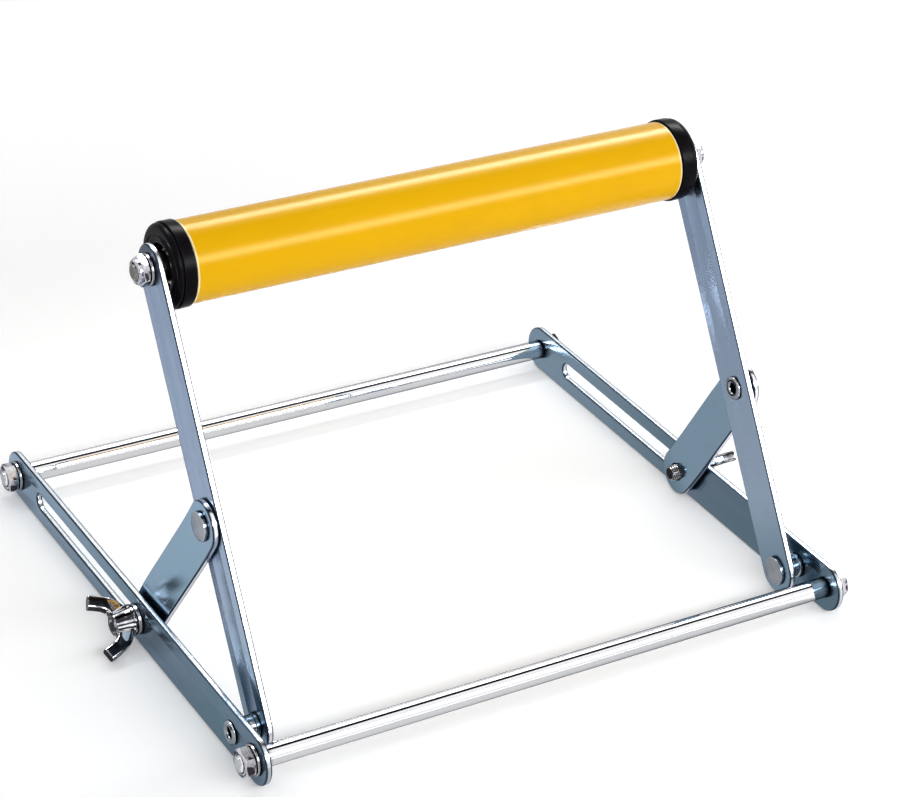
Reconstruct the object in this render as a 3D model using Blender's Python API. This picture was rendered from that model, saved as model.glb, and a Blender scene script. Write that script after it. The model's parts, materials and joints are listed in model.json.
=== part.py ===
"""A folding stand that holds up pipe and bar stock on a roller.

Two slotted rails and two cross rods make the base. Two arms carry the roller and lean back from
a pivot near the front rod. A short brace link on each arm reaches down to the rail's slot, where
a wing bolt clamps it. X runs along the roller, Y towards the back and Z up. The origin lies on
the floor, midway between the rails and between the rods. Lengths are in metres.
"""

import math

import bmesh
import bpy
from mathutils import Matrix, Vector

# Base frame
INSIDE_WIDTH = 0.304
ROD_SPACING = 0.260
ROD_DIAMETER = 0.010
RAIL_WIDTH = 0.024
RAIL_THICKNESS = 0.0032
RAIL_FOOT_RELIEF = 0.0001
SLOT_END_TO_REAR_ROD = 0.028

# Arms and brace links
ARM_LENGTH = 0.206
ARM_WIDTH = 0.0228
ARM_THICKNESS = 0.0032
PIVOT_BEHIND_FRONT_ROD = 0.022
LINK_LENGTH = 0.091
LINK_WIDTH = 0.0234
LINK_THICKNESS = 0.0032
LINK_FLAT_LENGTH = 0.014
RAISED_ANGLE = math.radians(57.5)
BUSH_LENGTH = 0.0084
BUSH_WALL = 0.0017
CLAMP_SPACER_THICKNESS = 0.0008
CLAMP_SPACER_WALL = 0.0032

# Roller, its end caps and bearings
TUBE_DIAMETER = 0.038
TUBE_WALL = 0.0017
CAP_TO_ARM = 0.0025
CAP_STAND_OUT = 0.009
CAP_RIM_WIDTH = 0.006
CAP_RIM_PROUD = 0.0009
CAP_GROOVE_WIDTH = 0.0006
CAP_GROOVE_DEPTH = 0.0012
CAP_FACE_STEP = 0.0004
CAP_FACE_ROUND = 0.002
CAP_FACE_WALL = 0.003
CAP_SPIGOT_LENGTH = 0.014
CAP_SPIGOT_WALL = 0.0037
CAP_LEAD_IN = 0.001
BEARING_WIDTH = 0.008
CAGE_WALL = 0.0009
CAGE_WIDTH = 0.0052
BALL_COUNT = 7
AXLE_MIDDLE_DIAMETER = 0.012
AXLE_SEAT_DIAMETER = 0.010
AXLE_SPACER_WALL = 0.0016

# Threads, nuts, washers and rivets
THREAD_DIAMETER = 0.008
THREAD_SHOWING = 0.001
THREAD_LEAD_IN = 0.0008
NUT_FLATS = 0.013
NUT_HEIGHT = 0.005
WASHER_DIAMETER = 0.015
WASHER_THICKNESS = 0.0012
RIVET_DIAMETER = 0.008
RIVET_HEAD_DIAMETER = 0.014
RIVET_HEAD_HEIGHT = 0.0022
RIVET_HEAD_RIM = 0.0006
RIVET_TAIL_DIAMETER = 0.0115
RIVET_TAIL_HEIGHT = 0.0014
RIVET_HOLLOW_DIAMETER = 0.005
RIVET_HOLLOW_DEPTH = 0.005

# Wing bolts
CLAMP_WASHER_THICKNESS = 0.0016
HUB_BASE_DIAMETER = 0.0152
HUB_END_DIAMETER = 0.0112
HUB_LENGTH = 0.0102
HUB_FOOT = 0.0014
HUB_END_ROUND = 0.0008
BOLT_TIP_SHOWING = 0.004
WING_REACH = 0.0159
WING_HEIGHT = 0.0189
WING_THICKNESS = 0.005
LEFT_WING_ANGLE = math.radians(32.5)
RIGHT_WING_ANGLE = math.radians(142)

# Clearances, edges and overruns
SEAT_GAP = 0.0003
PRESSED_EDGE = 0.0003
WING_EDGE = 0.0008
OVERRUN = 0.001
MERGE_DISTANCE = 0.000001

# One wing's outline from its root round the tip and back: outward over WING_REACH, and away
# from the rail over WING_HEIGHT.
WING_OUTLINE_SHARES = (
    (0.0, 0.10),
    (0.34, 0.11),
    (0.60, 0.22),
    (0.82, 0.46),
    (1.0, 0.80),
    (0.67, 1.0),
    (0.52, 0.77),
    (0.38, 0.60),
    (0.22, 0.52),
    (0.0, 0.52),
)
# A ball's diameter and a ring's thickness, as shares of the height between bearing bore and back
BALL_SHARE = 0.6
RING_SHARE = 0.286
# How far the first ball is turned from the top, in steps from ball to ball
BALL_TURN_SHARE = 0.25
# A nut's flat face, as a share of its width across flats
NUT_FACE_SHARE = 0.95
NUT_CHAMFER_ANGLE = math.radians(30)
SHARP_ANGLE = math.radians(35)

# Counts of facets
END_STEPS = 8
HOLE_SIDES = 16
ROD_SIDES = 18
TUBE_SIDES = 48
CAP_SIDES = 28
BEARING_SIDES = 20
SMALL_SIDES = 14
BALL_SIDES = 6
BALL_RINGS = 4
ARC_STEPS = 3

# Bearing sizes, which follow from the cap that holds it and the axle through it
SPIGOT_RADIUS = TUBE_DIAMETER / 2 - TUBE_WALL - SEAT_GAP
BEARING_RADIUS = SPIGOT_RADIUS - CAP_SPIGOT_WALL - SEAT_GAP
BEARING_BORE_RADIUS = AXLE_SEAT_DIAMETER / 2 + SEAT_GAP
BEARING_HEIGHT = BEARING_RADIUS - BEARING_BORE_RADIUS
BALL_RADIUS = BALL_SHARE * BEARING_HEIGHT / 2
BALL_CIRCLE_RADIUS = (BEARING_RADIUS + BEARING_BORE_RADIUS) / 2
RING_THICKNESS = RING_SHARE * BEARING_HEIGHT

# Places along X, from the middle outwards
RAIL_INNER_FACE = INSIDE_WIDTH / 2
RAIL_OUTER_FACE = RAIL_INNER_FACE + RAIL_THICKNESS
ARM_OUTER_FACE = RAIL_INNER_FACE - BUSH_LENGTH - 2 * SEAT_GAP
ARM_INNER_FACE = ARM_OUTER_FACE - ARM_THICKNESS
LINK_INNER_FACE = ARM_OUTER_FACE + SEAT_GAP
LINK_OUTER_FACE = LINK_INNER_FACE + LINK_THICKNESS
LINK_FOOT_OUTER_FACE = RAIL_INNER_FACE - CLAMP_SPACER_THICKNESS - 2 * SEAT_GAP
LINK_FOOT_INNER_FACE = LINK_FOOT_OUTER_FACE - LINK_THICKNESS
LINK_CRANK = LINK_FOOT_OUTER_FACE - LINK_OUTER_FACE
CAP_OUTER_FACE = ARM_INNER_FACE - CAP_TO_ARM
CAP_RIM_FACE = CAP_OUTER_FACE - CAP_STAND_OUT
TUBE_END = CAP_RIM_FACE - SEAT_GAP
BEARING_OUTER_FACE = CAP_OUTER_FACE - CAP_FACE_WALL - SEAT_GAP
BEARING_CENTRE = BEARING_OUTER_FACE - BEARING_WIDTH / 2
AXLE_SHOULDER = BEARING_OUTER_FACE - BEARING_WIDTH - SEAT_GAP
HUB_FOOT_FACE = RAIL_OUTER_FACE + CLAMP_WASHER_THICKNESS + 2 * SEAT_GAP

# Places along Y and Z
RAIL_HEIGHT = RAIL_WIDTH / 2
FRONT_ROD_Y = -ROD_SPACING / 2
PIVOT_Y = FRONT_ROD_Y + PIVOT_BEHIND_FRONT_ROD
CLAMP_Y = PIVOT_Y + 2 * LINK_LENGTH * math.cos(RAISED_ANGLE)
SLOT_BACK_Y = -FRONT_ROD_Y - SLOT_END_TO_REAR_ROD

# Radii that follow from the sizes above
THREAD_HOLE_RADIUS = THREAD_DIAMETER / 2 + SEAT_GAP
RIVET_HOLE_RADIUS = RIVET_DIAMETER / 2 + SEAT_GAP


def clear_scene():
    """Remove whatever objects the scene holds."""
    for old in list(bpy.data.objects):
        bpy.data.objects.remove(old, do_unlink=True)


def finish(name, colour, roughness, metallic):
    """Make a Principled material."""
    material = bpy.data.materials.new(name)
    material.use_nodes = True
    shader = material.node_tree.nodes["Principled BSDF"]
    shader.inputs["Base Color"].default_value = (*colour, 1.0)
    shader.inputs["Roughness"].default_value = roughness
    shader.inputs["Metallic"].default_value = metallic
    material.diffuse_color = (*colour, 1.0)
    return material


def arc(centre, radius, start, end, steps):
    """Points on an arc in a plane, both ends included, with angles in degrees."""
    points = []
    for step in range(steps + 1):
        angle = math.radians(start + (end - start) * step / steps)
        points.append((centre[0] + radius * math.cos(angle), centre[1] + radius * math.sin(angle)))
    return points


def circle(centre, radius, sides):
    """A closed outline of equal sides."""
    return arc(centre, radius, 0, 360, sides)[:-1]


def round_ended(start, end, radius, steps):
    """The outline of a bar or slot with round ends, whose centres lie at start and end."""
    back = arc((end, 0), radius, -90, 90, steps)
    front = arc((start, 0), radius, 90, 270, steps)
    return back + front


def cleaned(mesh):
    """Merge what coincides, turn the faces outwards and shade the rounds smooth."""
    shape = bmesh.new()
    shape.from_mesh(mesh)
    bmesh.ops.remove_doubles(shape, verts=shape.verts, dist=MERGE_DISTANCE)
    bmesh.ops.dissolve_degenerate(shape, dist=MERGE_DISTANCE, edges=shape.edges)
    bmesh.ops.recalc_face_normals(shape, faces=shape.faces)
    shape.to_mesh(mesh)
    shape.free()
    mesh.shade_smooth()
    mesh.set_sharp_from_angle(angle=SHARP_ANGLE)
    return mesh


def plate(name, outlines, thickness, edge):
    """A flat piece cut from sheet: the first outline is its edge and the others are holes.

    Its outlines lie in the YZ plane, its thickness is centred on X and its edges are eased.
    """
    curve = bpy.data.curves.new(name, "CURVE")
    curve.dimensions = "2D"
    curve.fill_mode = "BOTH"
    curve.extrude = thickness / 2 - edge
    curve.bevel_depth = edge
    curve.bevel_resolution = 0
    curve.offset = -edge
    for outline in outlines:
        spline = curve.splines.new("POLY")
        spline.points.add(len(outline) - 1)
        for point, place in zip(spline.points, outline):
            point.co = (place[0], place[1], 0, 1)
        spline.use_cyclic_u = True
    helper = bpy.data.objects.new(name, curve)
    mesh = bpy.data.meshes.new_from_object(helper)
    bpy.data.objects.remove(helper)
    mesh.transform(Matrix(((0, 0, 1, 0), (1, 0, 0, 0), (0, 1, 0, 0), (0, 0, 0, 1))))
    return cleaned(mesh)


def turned(name, profile, sides):
    """A piece turned about X. The profile is a run of (place along X, radius).

    It starts and ends on the axis, or else it is closed round a bore.
    """
    shape = bmesh.new()
    verts = [shape.verts.new((along, 0, radius)) for along, radius in profile]
    edges = [shape.edges.new(pair) for pair in zip(verts, verts[1:])]
    if profile[0][1] > 0:
        edges.append(shape.edges.new((verts[-1], verts[0])))
    bmesh.ops.spin(
        shape,
        geom=verts + edges,
        cent=Vector((0, 0, 0)),
        axis=Vector((1, 0, 0)),
        angle=math.tau,
        steps=sides,
        use_merge=True,
    )
    mesh = bpy.data.meshes.new(name)
    shape.to_mesh(mesh)
    shape.free()
    return cleaned(mesh)


def combined(name, base, other, operation):
    """The mesh that a Boolean makes from two closed meshes."""
    base_piece = bpy.data.objects.new(name, base)
    other_piece = bpy.data.objects.new(name + "_other", other)
    bpy.context.scene.collection.objects.link(base_piece)
    bpy.context.scene.collection.objects.link(other_piece)
    boolean = base_piece.modifiers.new("combine", "BOOLEAN")
    boolean.operation = operation
    boolean.object = other_piece
    graph = bpy.context.evaluated_depsgraph_get()
    mesh = bpy.data.meshes.new_from_object(base_piece.evaluated_get(graph))
    bpy.data.objects.remove(base_piece)
    bpy.data.objects.remove(other_piece)
    return cleaned(mesh)


def sleeve(name, length, inner_radius, outer_radius, sides):
    """A round tube or washer centred on X."""
    half = length / 2
    profile = [(-half, inner_radius), (half, inner_radius), (half, outer_radius), (-half, outer_radius)]
    return turned(name, profile, sides)


def rail_mesh():
    """A side rail: two rod holes, the arm's pivot hole and the slot for the clamp.

    Its lower edge is relieved a little in the middle, so it stands on its two ends.
    """
    slot_radius = THREAD_HOLE_RADIUS
    edge = round_ended(FRONT_ROD_Y, -FRONT_ROD_Y, RAIL_WIDTH / 2, END_STEPS)
    edge.append((0, RAIL_FOOT_RELIEF - RAIL_WIDTH / 2))
    outlines = [
        edge,
        circle((FRONT_ROD_Y, 0), THREAD_HOLE_RADIUS, HOLE_SIDES),
        circle((-FRONT_ROD_Y, 0), THREAD_HOLE_RADIUS, HOLE_SIDES),
        circle((PIVOT_Y, 0), RIVET_HOLE_RADIUS, HOLE_SIDES),
        round_ended(CLAMP_Y, SLOT_BACK_Y, slot_radius, END_STEPS),
    ]
    return plate("rail", outlines, RAIL_THICKNESS, PRESSED_EDGE)


def arm_mesh():
    """An arm, from its pivot at the origin to the axle: pivot, link and axle holes."""
    outlines = [
        round_ended(0, ARM_LENGTH, ARM_WIDTH / 2, END_STEPS),
        circle((0, 0), RIVET_HOLE_RADIUS, HOLE_SIDES),
        circle((LINK_LENGTH, 0), RIVET_HOLE_RADIUS, HOLE_SIDES),
        circle((ARM_LENGTH, 0), THREAD_HOLE_RADIUS, HOLE_SIDES),
    ]
    return plate("arm", outlines, ARM_THICKNESS, PRESSED_EDGE)


def link_mesh(side):
    """A brace link, from its rivet at the origin to the clamp, cranked outwards to meet the rail."""
    outlines = [
        round_ended(0, LINK_LENGTH, LINK_WIDTH / 2, END_STEPS),
        circle((0, 0), RIVET_HOLE_RADIUS, HOLE_SIDES),
        circle((LINK_LENGTH, 0), THREAD_HOLE_RADIUS, HOLE_SIDES),
    ]
    mesh = plate("link", outlines, LINK_THICKNESS, PRESSED_EDGE)
    first_bend = LINK_FLAT_LENGTH
    second_bend = LINK_LENGTH - LINK_FLAT_LENGTH
    shape = bmesh.new()
    shape.from_mesh(mesh)
    for bend in (first_bend, second_bend):
        bmesh.ops.bisect_plane(
            shape,
            geom=shape.verts[:] + shape.edges[:] + shape.faces[:],
            dist=MERGE_DISTANCE,
            plane_co=(0, bend, 0),
            plane_no=(0, 1, 0),
        )
    for vert in shape.verts:
        share = (vert.co.y - first_bend) / (second_bend - first_bend)
        vert.co.x += side * LINK_CRANK * min(max(share, 0), 1)
    shape.to_mesh(mesh)
    shape.free()
    return cleaned(mesh)


def stepped_rod(name, middle, seat, shoulder, seat_end, tip, sides):
    """A round rod in steps: middle, an optional seat, and a threaded end at both sides."""
    thread = THREAD_DIAMETER / 2
    half = [
        (shoulder - PRESSED_EDGE, middle),
        (shoulder, middle - PRESSED_EDGE),
        (shoulder, seat),
        (seat_end - PRESSED_EDGE, seat),
        (seat_end, seat - PRESSED_EDGE),
        (seat_end, thread),
        (tip - THREAD_LEAD_IN, thread),
        (tip, thread - THREAD_LEAD_IN),
        (tip, 0),
    ]
    if seat == middle:
        del half[:3]
    other = [(-along, radius) for along, radius in reversed(half)]
    return turned(name, other + half, sides)


def nut_mesh():
    """A hexagon nut with chamfered corners, centred on X."""
    corner_radius = NUT_FLATS / math.sqrt(3)
    face_radius = NUT_FLATS / 2 * NUT_FACE_SHARE
    slope = math.tan(NUT_CHAMFER_ANGLE)
    half = NUT_HEIGHT / 2
    outer = corner_radius + OVERRUN
    hexagon = circle((0, 0), corner_radius, 6)
    bore = circle((0, 0), THREAD_HOLE_RADIUS, HOLE_SIDES)
    blank = plate("nut", [hexagon, bore], NUT_HEIGHT, 0)
    side = [
        (half - (outer - face_radius) * slope, outer),
        (half + OVERRUN * slope, face_radius - OVERRUN),
        (half + OVERRUN * slope, 0),
    ]
    profile = [(-along, radius) for along, radius in reversed(side)] + side
    return combined("nut", blank, turned("nut_chamfer", profile, ROD_SIDES), "INTERSECT")


def rivet_mesh(name, grip):
    """A semi-tubular rivet: a low dome below the origin, and a rolled tail past the grip along X."""
    head = RIVET_HEAD_DIAMETER / 2
    shank = RIVET_DIAMETER / 2
    hollow = RIVET_HOLLOW_DIAMETER / 2
    tail = RIVET_TAIL_DIAMETER / 2
    crown_height = RIVET_HEAD_HEIGHT - RIVET_HEAD_RIM
    crown_radius = (head**2 + crown_height**2) / (2 * crown_height)
    spread = math.degrees(math.asin(head / crown_radius))
    crown = arc((crown_radius - RIVET_HEAD_HEIGHT, 0), crown_radius, 180, 180 - spread, ARC_STEPS)
    crown[0] = (-RIVET_HEAD_HEIGHT, 0)
    profile = crown + [(0, head), (0, shank), (grip, shank)]
    for step in range(ARC_STEPS + 1):
        angle = math.pi * step / ARC_STEPS
        along = grip + RIVET_TAIL_HEIGHT * math.sin(angle)
        profile.append((along, (tail + hollow) / 2 + (tail - hollow) / 2 * math.cos(angle)))
    floor = grip + RIVET_TAIL_HEIGHT - RIVET_HOLLOW_DEPTH
    profile += [(floor, hollow), (floor - hollow / 2, 0)]
    return turned(name, profile, SMALL_SIDES)


def wing_bolt_mesh():
    """A wing bolt with its hub's foot at the origin, its shank along -X and its wings along Y."""
    thread = THREAD_DIAMETER / 2
    foot = HUB_BASE_DIAMETER / 2
    end = HUB_END_DIAMETER / 2
    tip = LINK_FOOT_INNER_FACE - BOLT_TIP_SHOWING - HUB_FOOT_FACE
    hub = [
        (tip, 0),
        (tip, thread - THREAD_LEAD_IN),
        (tip + THREAD_LEAD_IN, thread),
        (0, thread),
        (0, foot),
        (HUB_FOOT, foot),
    ]
    hub += arc((HUB_LENGTH - HUB_END_ROUND, end - HUB_END_ROUND), HUB_END_ROUND, 90, 0, ARC_STEPS)
    hub.append((HUB_LENGTH, 0))
    wing = [(WING_REACH * out, WING_HEIGHT * up) for out, up in WING_OUTLINE_SHARES]
    other_wing = [(-out, up) for out, up in reversed(wing[1:-1])]
    blank = plate("wings", [wing + other_wing], WING_THICKNESS, WING_EDGE)
    # The plate's outline lies in YZ with its thickness along X, so it is turned to stand on X.
    blank.transform(Matrix(((0, 0, 1, 0), (0, 1, 0, 0), (-1, 0, 0, 0), (0, 0, 0, 1))))
    return combined("wing_bolt", turned("hub", hub, ROD_SIDES), blank, "UNION")


def cap_mesh():
    """A roller end cap with its rim's inner face at the origin, its face outwards along X."""
    spigot = SPIGOT_RADIUS
    rim = TUBE_DIAMETER / 2 + CAP_RIM_PROUD
    face = rim - CAP_FACE_STEP
    pocket = BEARING_RADIUS + SEAT_GAP
    pocket_floor = CAP_STAND_OUT - CAP_FACE_WALL
    face_bore = BEARING_RADIUS - RING_THICKNESS
    groove_end = CAP_RIM_WIDTH + CAP_GROOVE_WIDTH
    profile = [
        (pocket_floor, face_bore),
        (pocket_floor, pocket),
        (-CAP_SPIGOT_LENGTH, pocket),
        (-CAP_SPIGOT_LENGTH, spigot - CAP_LEAD_IN),
        (CAP_LEAD_IN - CAP_SPIGOT_LENGTH, spigot),
        (0, spigot),
        (0, rim - PRESSED_EDGE),
        (PRESSED_EDGE, rim),
        (CAP_RIM_WIDTH - PRESSED_EDGE, rim),
        (CAP_RIM_WIDTH, rim - PRESSED_EDGE),
        (CAP_RIM_WIDTH, rim - CAP_GROOVE_DEPTH),
        (groove_end, rim - CAP_GROOVE_DEPTH),
        (groove_end, face),
    ]
    round_centre = (CAP_STAND_OUT - CAP_FACE_ROUND, face - CAP_FACE_ROUND)
    profile += arc(round_centre, CAP_FACE_ROUND, 90, 0, ARC_STEPS)
    profile.append((CAP_STAND_OUT, face_bore))
    return turned("end_cap", profile, CAP_SIDES)


def ring_mesh(name, back, land, groove_side):
    """A bearing ring centred on X: its back, and a land with a groove that clears the balls."""
    half = BEARING_WIDTH / 2
    clear = BALL_RADIUS + SEAT_GAP
    reach = math.sqrt(clear**2 - (land - BALL_CIRCLE_RADIUS) ** 2)
    spread = math.degrees(math.atan2(reach, abs(land - BALL_CIRCLE_RADIUS)))
    groove = arc((0, BALL_CIRCLE_RADIUS), clear, groove_side + spread, groove_side - spread, ARC_STEPS)
    if groove[0][0] < 0:
        groove.reverse()
    edge = PRESSED_EDGE if back > land else -PRESSED_EDGE
    profile = [
        (-half, land),
        (-half, back - edge),
        (PRESSED_EDGE - half, back),
        (half - PRESSED_EDGE, back),
        (half, back - edge),
        (half, land),
    ]
    return turned(name, profile + groove, BEARING_SIDES)


def ball_cage_mesh():
    """The bearing's balls, held by a cage ring on their circle."""
    cage = sleeve(
        "ball_cage",
        CAGE_WIDTH,
        BALL_CIRCLE_RADIUS - CAGE_WALL / 2,
        BALL_CIRCLE_RADIUS + CAGE_WALL / 2,
        BALL_COUNT * 2,
    )
    shape = bmesh.new()
    for number in range(BALL_COUNT):
        turn = Matrix.Rotation(math.tau * (number + BALL_TURN_SHARE) / BALL_COUNT, 4, "X")
        place = turn @ Matrix.Translation((0, 0, BALL_CIRCLE_RADIUS))
        bmesh.ops.create_uvsphere(
            shape,
            u_segments=BALL_SIDES,
            v_segments=BALL_RINGS,
            radius=BALL_RADIUS,
            matrix=place,
        )
    balls = bpy.data.meshes.new("balls")
    shape.to_mesh(balls)
    shape.free()
    return combined("ball_cage", cage, cleaned(balls), "UNION")


def empty(name, parent, location, turn):
    """An empty on a joint's axis, turned about X by an angle."""
    holder = bpy.data.objects.new(name, None)
    bpy.context.scene.collection.objects.link(holder)
    holder.empty_display_size = RAIL_WIDTH
    holder.parent = parent
    holder.location = location
    holder.rotation_euler = (turn, 0, 0)
    return holder


def add(name, mesh, material, parent, location, side=1, turn=0):
    """Put a piece in the scene. Its side is 1, or -1 to turn its outer end to the left."""
    piece = bpy.data.objects.new(name, mesh)
    bpy.context.scene.collection.objects.link(piece)
    if not mesh.materials:
        mesh.materials.append(material)
    piece.parent = parent
    piece.location = location
    piece.rotation_euler = (side * turn, 0, 0 if side > 0 else math.pi)
    return piece


SIDES = (("left", -1), ("right", 1))


def build_base(zinc, chrome, bright, nut):
    """The two rails, the two cross rods and what bolts them together."""
    rail = rail_mesh()
    tip = RAIL_OUTER_FACE + WASHER_THICKNESS + NUT_HEIGHT + 2 * SEAT_GAP + THREAD_SHOWING
    shoulder = RAIL_INNER_FACE - SEAT_GAP
    radius = ROD_DIAMETER / 2
    rod = stepped_rod("cross_rod", radius, radius, shoulder, shoulder, tip, ROD_SIDES)
    washer = sleeve("washer", WASHER_THICKNESS, THREAD_HOLE_RADIUS, WASHER_DIAMETER / 2, SMALL_SIDES)
    washer_x = RAIL_OUTER_FACE + SEAT_GAP + WASHER_THICKNESS / 2
    nut_x = RAIL_OUTER_FACE + 2 * SEAT_GAP + WASHER_THICKNESS + NUT_HEIGHT / 2
    for side_name, side in SIDES:
        rail_x = side * (RAIL_INNER_FACE + RAIL_THICKNESS / 2)
        add(side_name + "_side_rail", rail, zinc, None, (rail_x, 0, RAIL_HEIGHT))
    for end_name, y in (("front", FRONT_ROD_Y), ("rear", -FRONT_ROD_Y)):
        add(end_name + "_cross_rod", rod, chrome, None, (0, y, RAIL_HEIGHT))
        for side_name, side in SIDES:
            corner = end_name + "_" + side_name
            add(corner + "_washer", washer, bright, None, (side * washer_x, y, RAIL_HEIGHT), side)
            add(corner + "_nut", nut, bright, None, (side * nut_x, y, RAIL_HEIGHT), side)


def build_pivots(zinc, bright):
    """The rivet and the bush that carry each arm on its rail."""
    head_face = ARM_INNER_FACE - SEAT_GAP
    rivet = rivet_mesh("pivot_rivet", RAIL_OUTER_FACE + SEAT_GAP - head_face)
    bush_bore = RIVET_HOLE_RADIUS
    bush = sleeve("pivot_bush", BUSH_LENGTH, bush_bore, bush_bore + BUSH_WALL, SMALL_SIDES)
    bush_x = RAIL_INNER_FACE - SEAT_GAP - BUSH_LENGTH / 2
    for side_name, side in SIDES:
        pivot = (side * head_face, PIVOT_Y, RAIL_HEIGHT)
        add(side_name + "_pivot_rivet", rivet, bright, None, pivot, side)
        add(side_name + "_pivot_bush", bush, zinc, None, (side * bush_x, PIVOT_Y, RAIL_HEIGHT), side)


def build_arms(fold_pivot, zinc, bright, steel, nut):
    """The arms, the axle between them and what holds the axle and the links."""
    arm = arm_mesh()
    axle_tip = ARM_OUTER_FACE + WASHER_THICKNESS + NUT_HEIGHT + 2 * SEAT_GAP + THREAD_SHOWING
    axle = stepped_rod(
        "roller_axle",
        AXLE_MIDDLE_DIAMETER / 2,
        AXLE_SEAT_DIAMETER / 2,
        AXLE_SHOULDER,
        ARM_INNER_FACE - SEAT_GAP,
        axle_tip,
        ROD_SIDES,
    )
    add("roller_axle", axle, steel, fold_pivot, (0, ARM_LENGTH, 0))
    washer = sleeve("axle_washer", WASHER_THICKNESS, THREAD_HOLE_RADIUS, WASHER_DIAMETER / 2, SMALL_SIDES)
    spacer_start = BEARING_OUTER_FACE + SEAT_GAP
    spacer_length = ARM_INNER_FACE - SEAT_GAP - spacer_start
    spacer_radius = BEARING_BORE_RADIUS + AXLE_SPACER_WALL
    spacer = sleeve("axle_spacer", spacer_length, BEARING_BORE_RADIUS, spacer_radius, SMALL_SIDES)
    link_head_face = LINK_OUTER_FACE + SEAT_GAP
    link_rivet = rivet_mesh("link_rivet", link_head_face - ARM_INNER_FACE + SEAT_GAP)
    washer_x = ARM_OUTER_FACE + SEAT_GAP + WASHER_THICKNESS / 2
    nut_x = ARM_OUTER_FACE + 2 * SEAT_GAP + WASHER_THICKNESS + NUT_HEIGHT / 2
    for side_name, side in SIDES:
        arm_x = side * (ARM_INNER_FACE + ARM_THICKNESS / 2)
        spacer_x = side * (spacer_start + spacer_length / 2)
        rivet_place = (side * link_head_face, LINK_LENGTH, 0)
        add(side_name + "_arm", arm, zinc, fold_pivot, (arm_x, 0, 0))
        add(side_name + "_axle_washer", washer, bright, fold_pivot, (side * washer_x, ARM_LENGTH, 0), side)
        add(side_name + "_axle_nut", nut, bright, fold_pivot, (side * nut_x, ARM_LENGTH, 0), side)
        add(side_name + "_axle_spacer", spacer, steel, fold_pivot, (spacer_x, ARM_LENGTH, 0), side)
        add(side_name + "_link_rivet", link_rivet, bright, fold_pivot, rivet_place, -side)


def build_roller(fold_pivot, yellow, plastic, steel):
    """The roller with its caps, and the two bearings that it runs on."""
    centre = empty("roller_centre", fold_pivot, (0, ARM_LENGTH, 0), 0)
    tube = sleeve("roller_tube", 2 * TUBE_END, TUBE_DIAMETER / 2 - TUBE_WALL, TUBE_DIAMETER / 2, TUBE_SIDES)
    add("roller_tube", tube, yellow, centre, (0, 0, 0))
    cap = cap_mesh()
    outer_ring = ring_mesh("outer_ring", BEARING_RADIUS, BEARING_RADIUS - RING_THICKNESS, 90)
    inner_ring = ring_mesh("inner_ring", BEARING_BORE_RADIUS, BEARING_BORE_RADIUS + RING_THICKNESS, 270)
    cage = ball_cage_mesh()
    for side_name, side in SIDES:
        bearing_place = (side * BEARING_CENTRE, 0, 0)
        add(side_name + "_end_cap", cap, plastic, centre, (side * CAP_RIM_FACE, 0, 0), side)
        add(side_name + "_bearing_outer_ring", outer_ring, steel, centre, bearing_place, side)
        add(side_name + "_bearing_inner_ring", inner_ring, steel, centre, bearing_place, side)
        add(side_name + "_ball_cage", cage, steel, centre, bearing_place, side)


def build_links(fold_pivot, zinc, bright, chrome):
    """The brace links, and the wing bolts that clamp them in the slots."""
    link_joint = empty("link_joint", fold_pivot, (0, LINK_LENGTH, 0), -2 * RAISED_ANGLE)
    clamp = empty("clamp_axis", link_joint, (0, LINK_LENGTH, 0), RAISED_ANGLE)
    spacer_radius = THREAD_HOLE_RADIUS + CLAMP_SPACER_WALL
    spacer = sleeve("clamp_spacer", CLAMP_SPACER_THICKNESS, THREAD_HOLE_RADIUS, spacer_radius, SMALL_SIDES)
    spacer_x = RAIL_INNER_FACE - SEAT_GAP - CLAMP_SPACER_THICKNESS / 2
    washer_radius = WASHER_DIAMETER / 2
    washer = sleeve("clamp_washer", CLAMP_WASHER_THICKNESS, THREAD_HOLE_RADIUS, washer_radius, SMALL_SIDES)
    washer_x = RAIL_OUTER_FACE + SEAT_GAP + CLAMP_WASHER_THICKNESS / 2
    bolt = wing_bolt_mesh()
    wing_angles = {"left": LEFT_WING_ANGLE, "right": RIGHT_WING_ANGLE}
    for side_name, side in SIDES:
        link_x = side * (LINK_INNER_FACE + LINK_THICKNESS / 2)
        bolt_place = (side * HUB_FOOT_FACE, 0, 0)
        add(side_name + "_brace_link", link_mesh(side), zinc, link_joint, (link_x, 0, 0))
        add(side_name + "_clamp_spacer", spacer, bright, clamp, (side * spacer_x, 0, 0), side)
        add(side_name + "_clamp_washer", washer, bright, clamp, (side * washer_x, 0, 0), side)
        add(side_name + "_wing_bolt", bolt, chrome, clamp, bolt_place, side, wing_angles[side_name])


def main():
    clear_scene()
    zinc = finish("blue_zinc", (0.50, 0.58, 0.66), 0.28, 1.0)
    bright = finish("bright_zinc", (0.72, 0.72, 0.70), 0.25, 1.0)
    chrome = finish("polished_chrome", (0.80, 0.80, 0.82), 0.08, 1.0)
    steel = finish("bearing_steel", (0.60, 0.60, 0.60), 0.20, 1.0)
    yellow = finish("yellow_enamel", (0.90, 0.58, 0.01), 0.25, 0.0)
    plastic = finish("black_plastic", (0.015, 0.015, 0.017), 0.42, 0.0)
    fold_pivot = empty("fold_pivot", None, (0, PIVOT_Y, RAIL_HEIGHT), RAISED_ANGLE)
    nut = nut_mesh()
    build_base(zinc, chrome, bright, nut)
    build_pivots(zinc, bright)
    build_arms(fold_pivot, zinc, bright, steel, nut)
    build_roller(fold_pivot, yellow, plastic, steel)
    build_links(fold_pivot, zinc, bright, chrome)


main()
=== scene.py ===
"""Dresses a folding roller stand: plated bars, chrome rods and wing bolts, and a yellow roller.

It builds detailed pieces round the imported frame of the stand, gives every piece its finish, and
sets up a plain studio. X runs along the roller, Y towards the back and Z up, in metres.
"""

import json
import math

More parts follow.
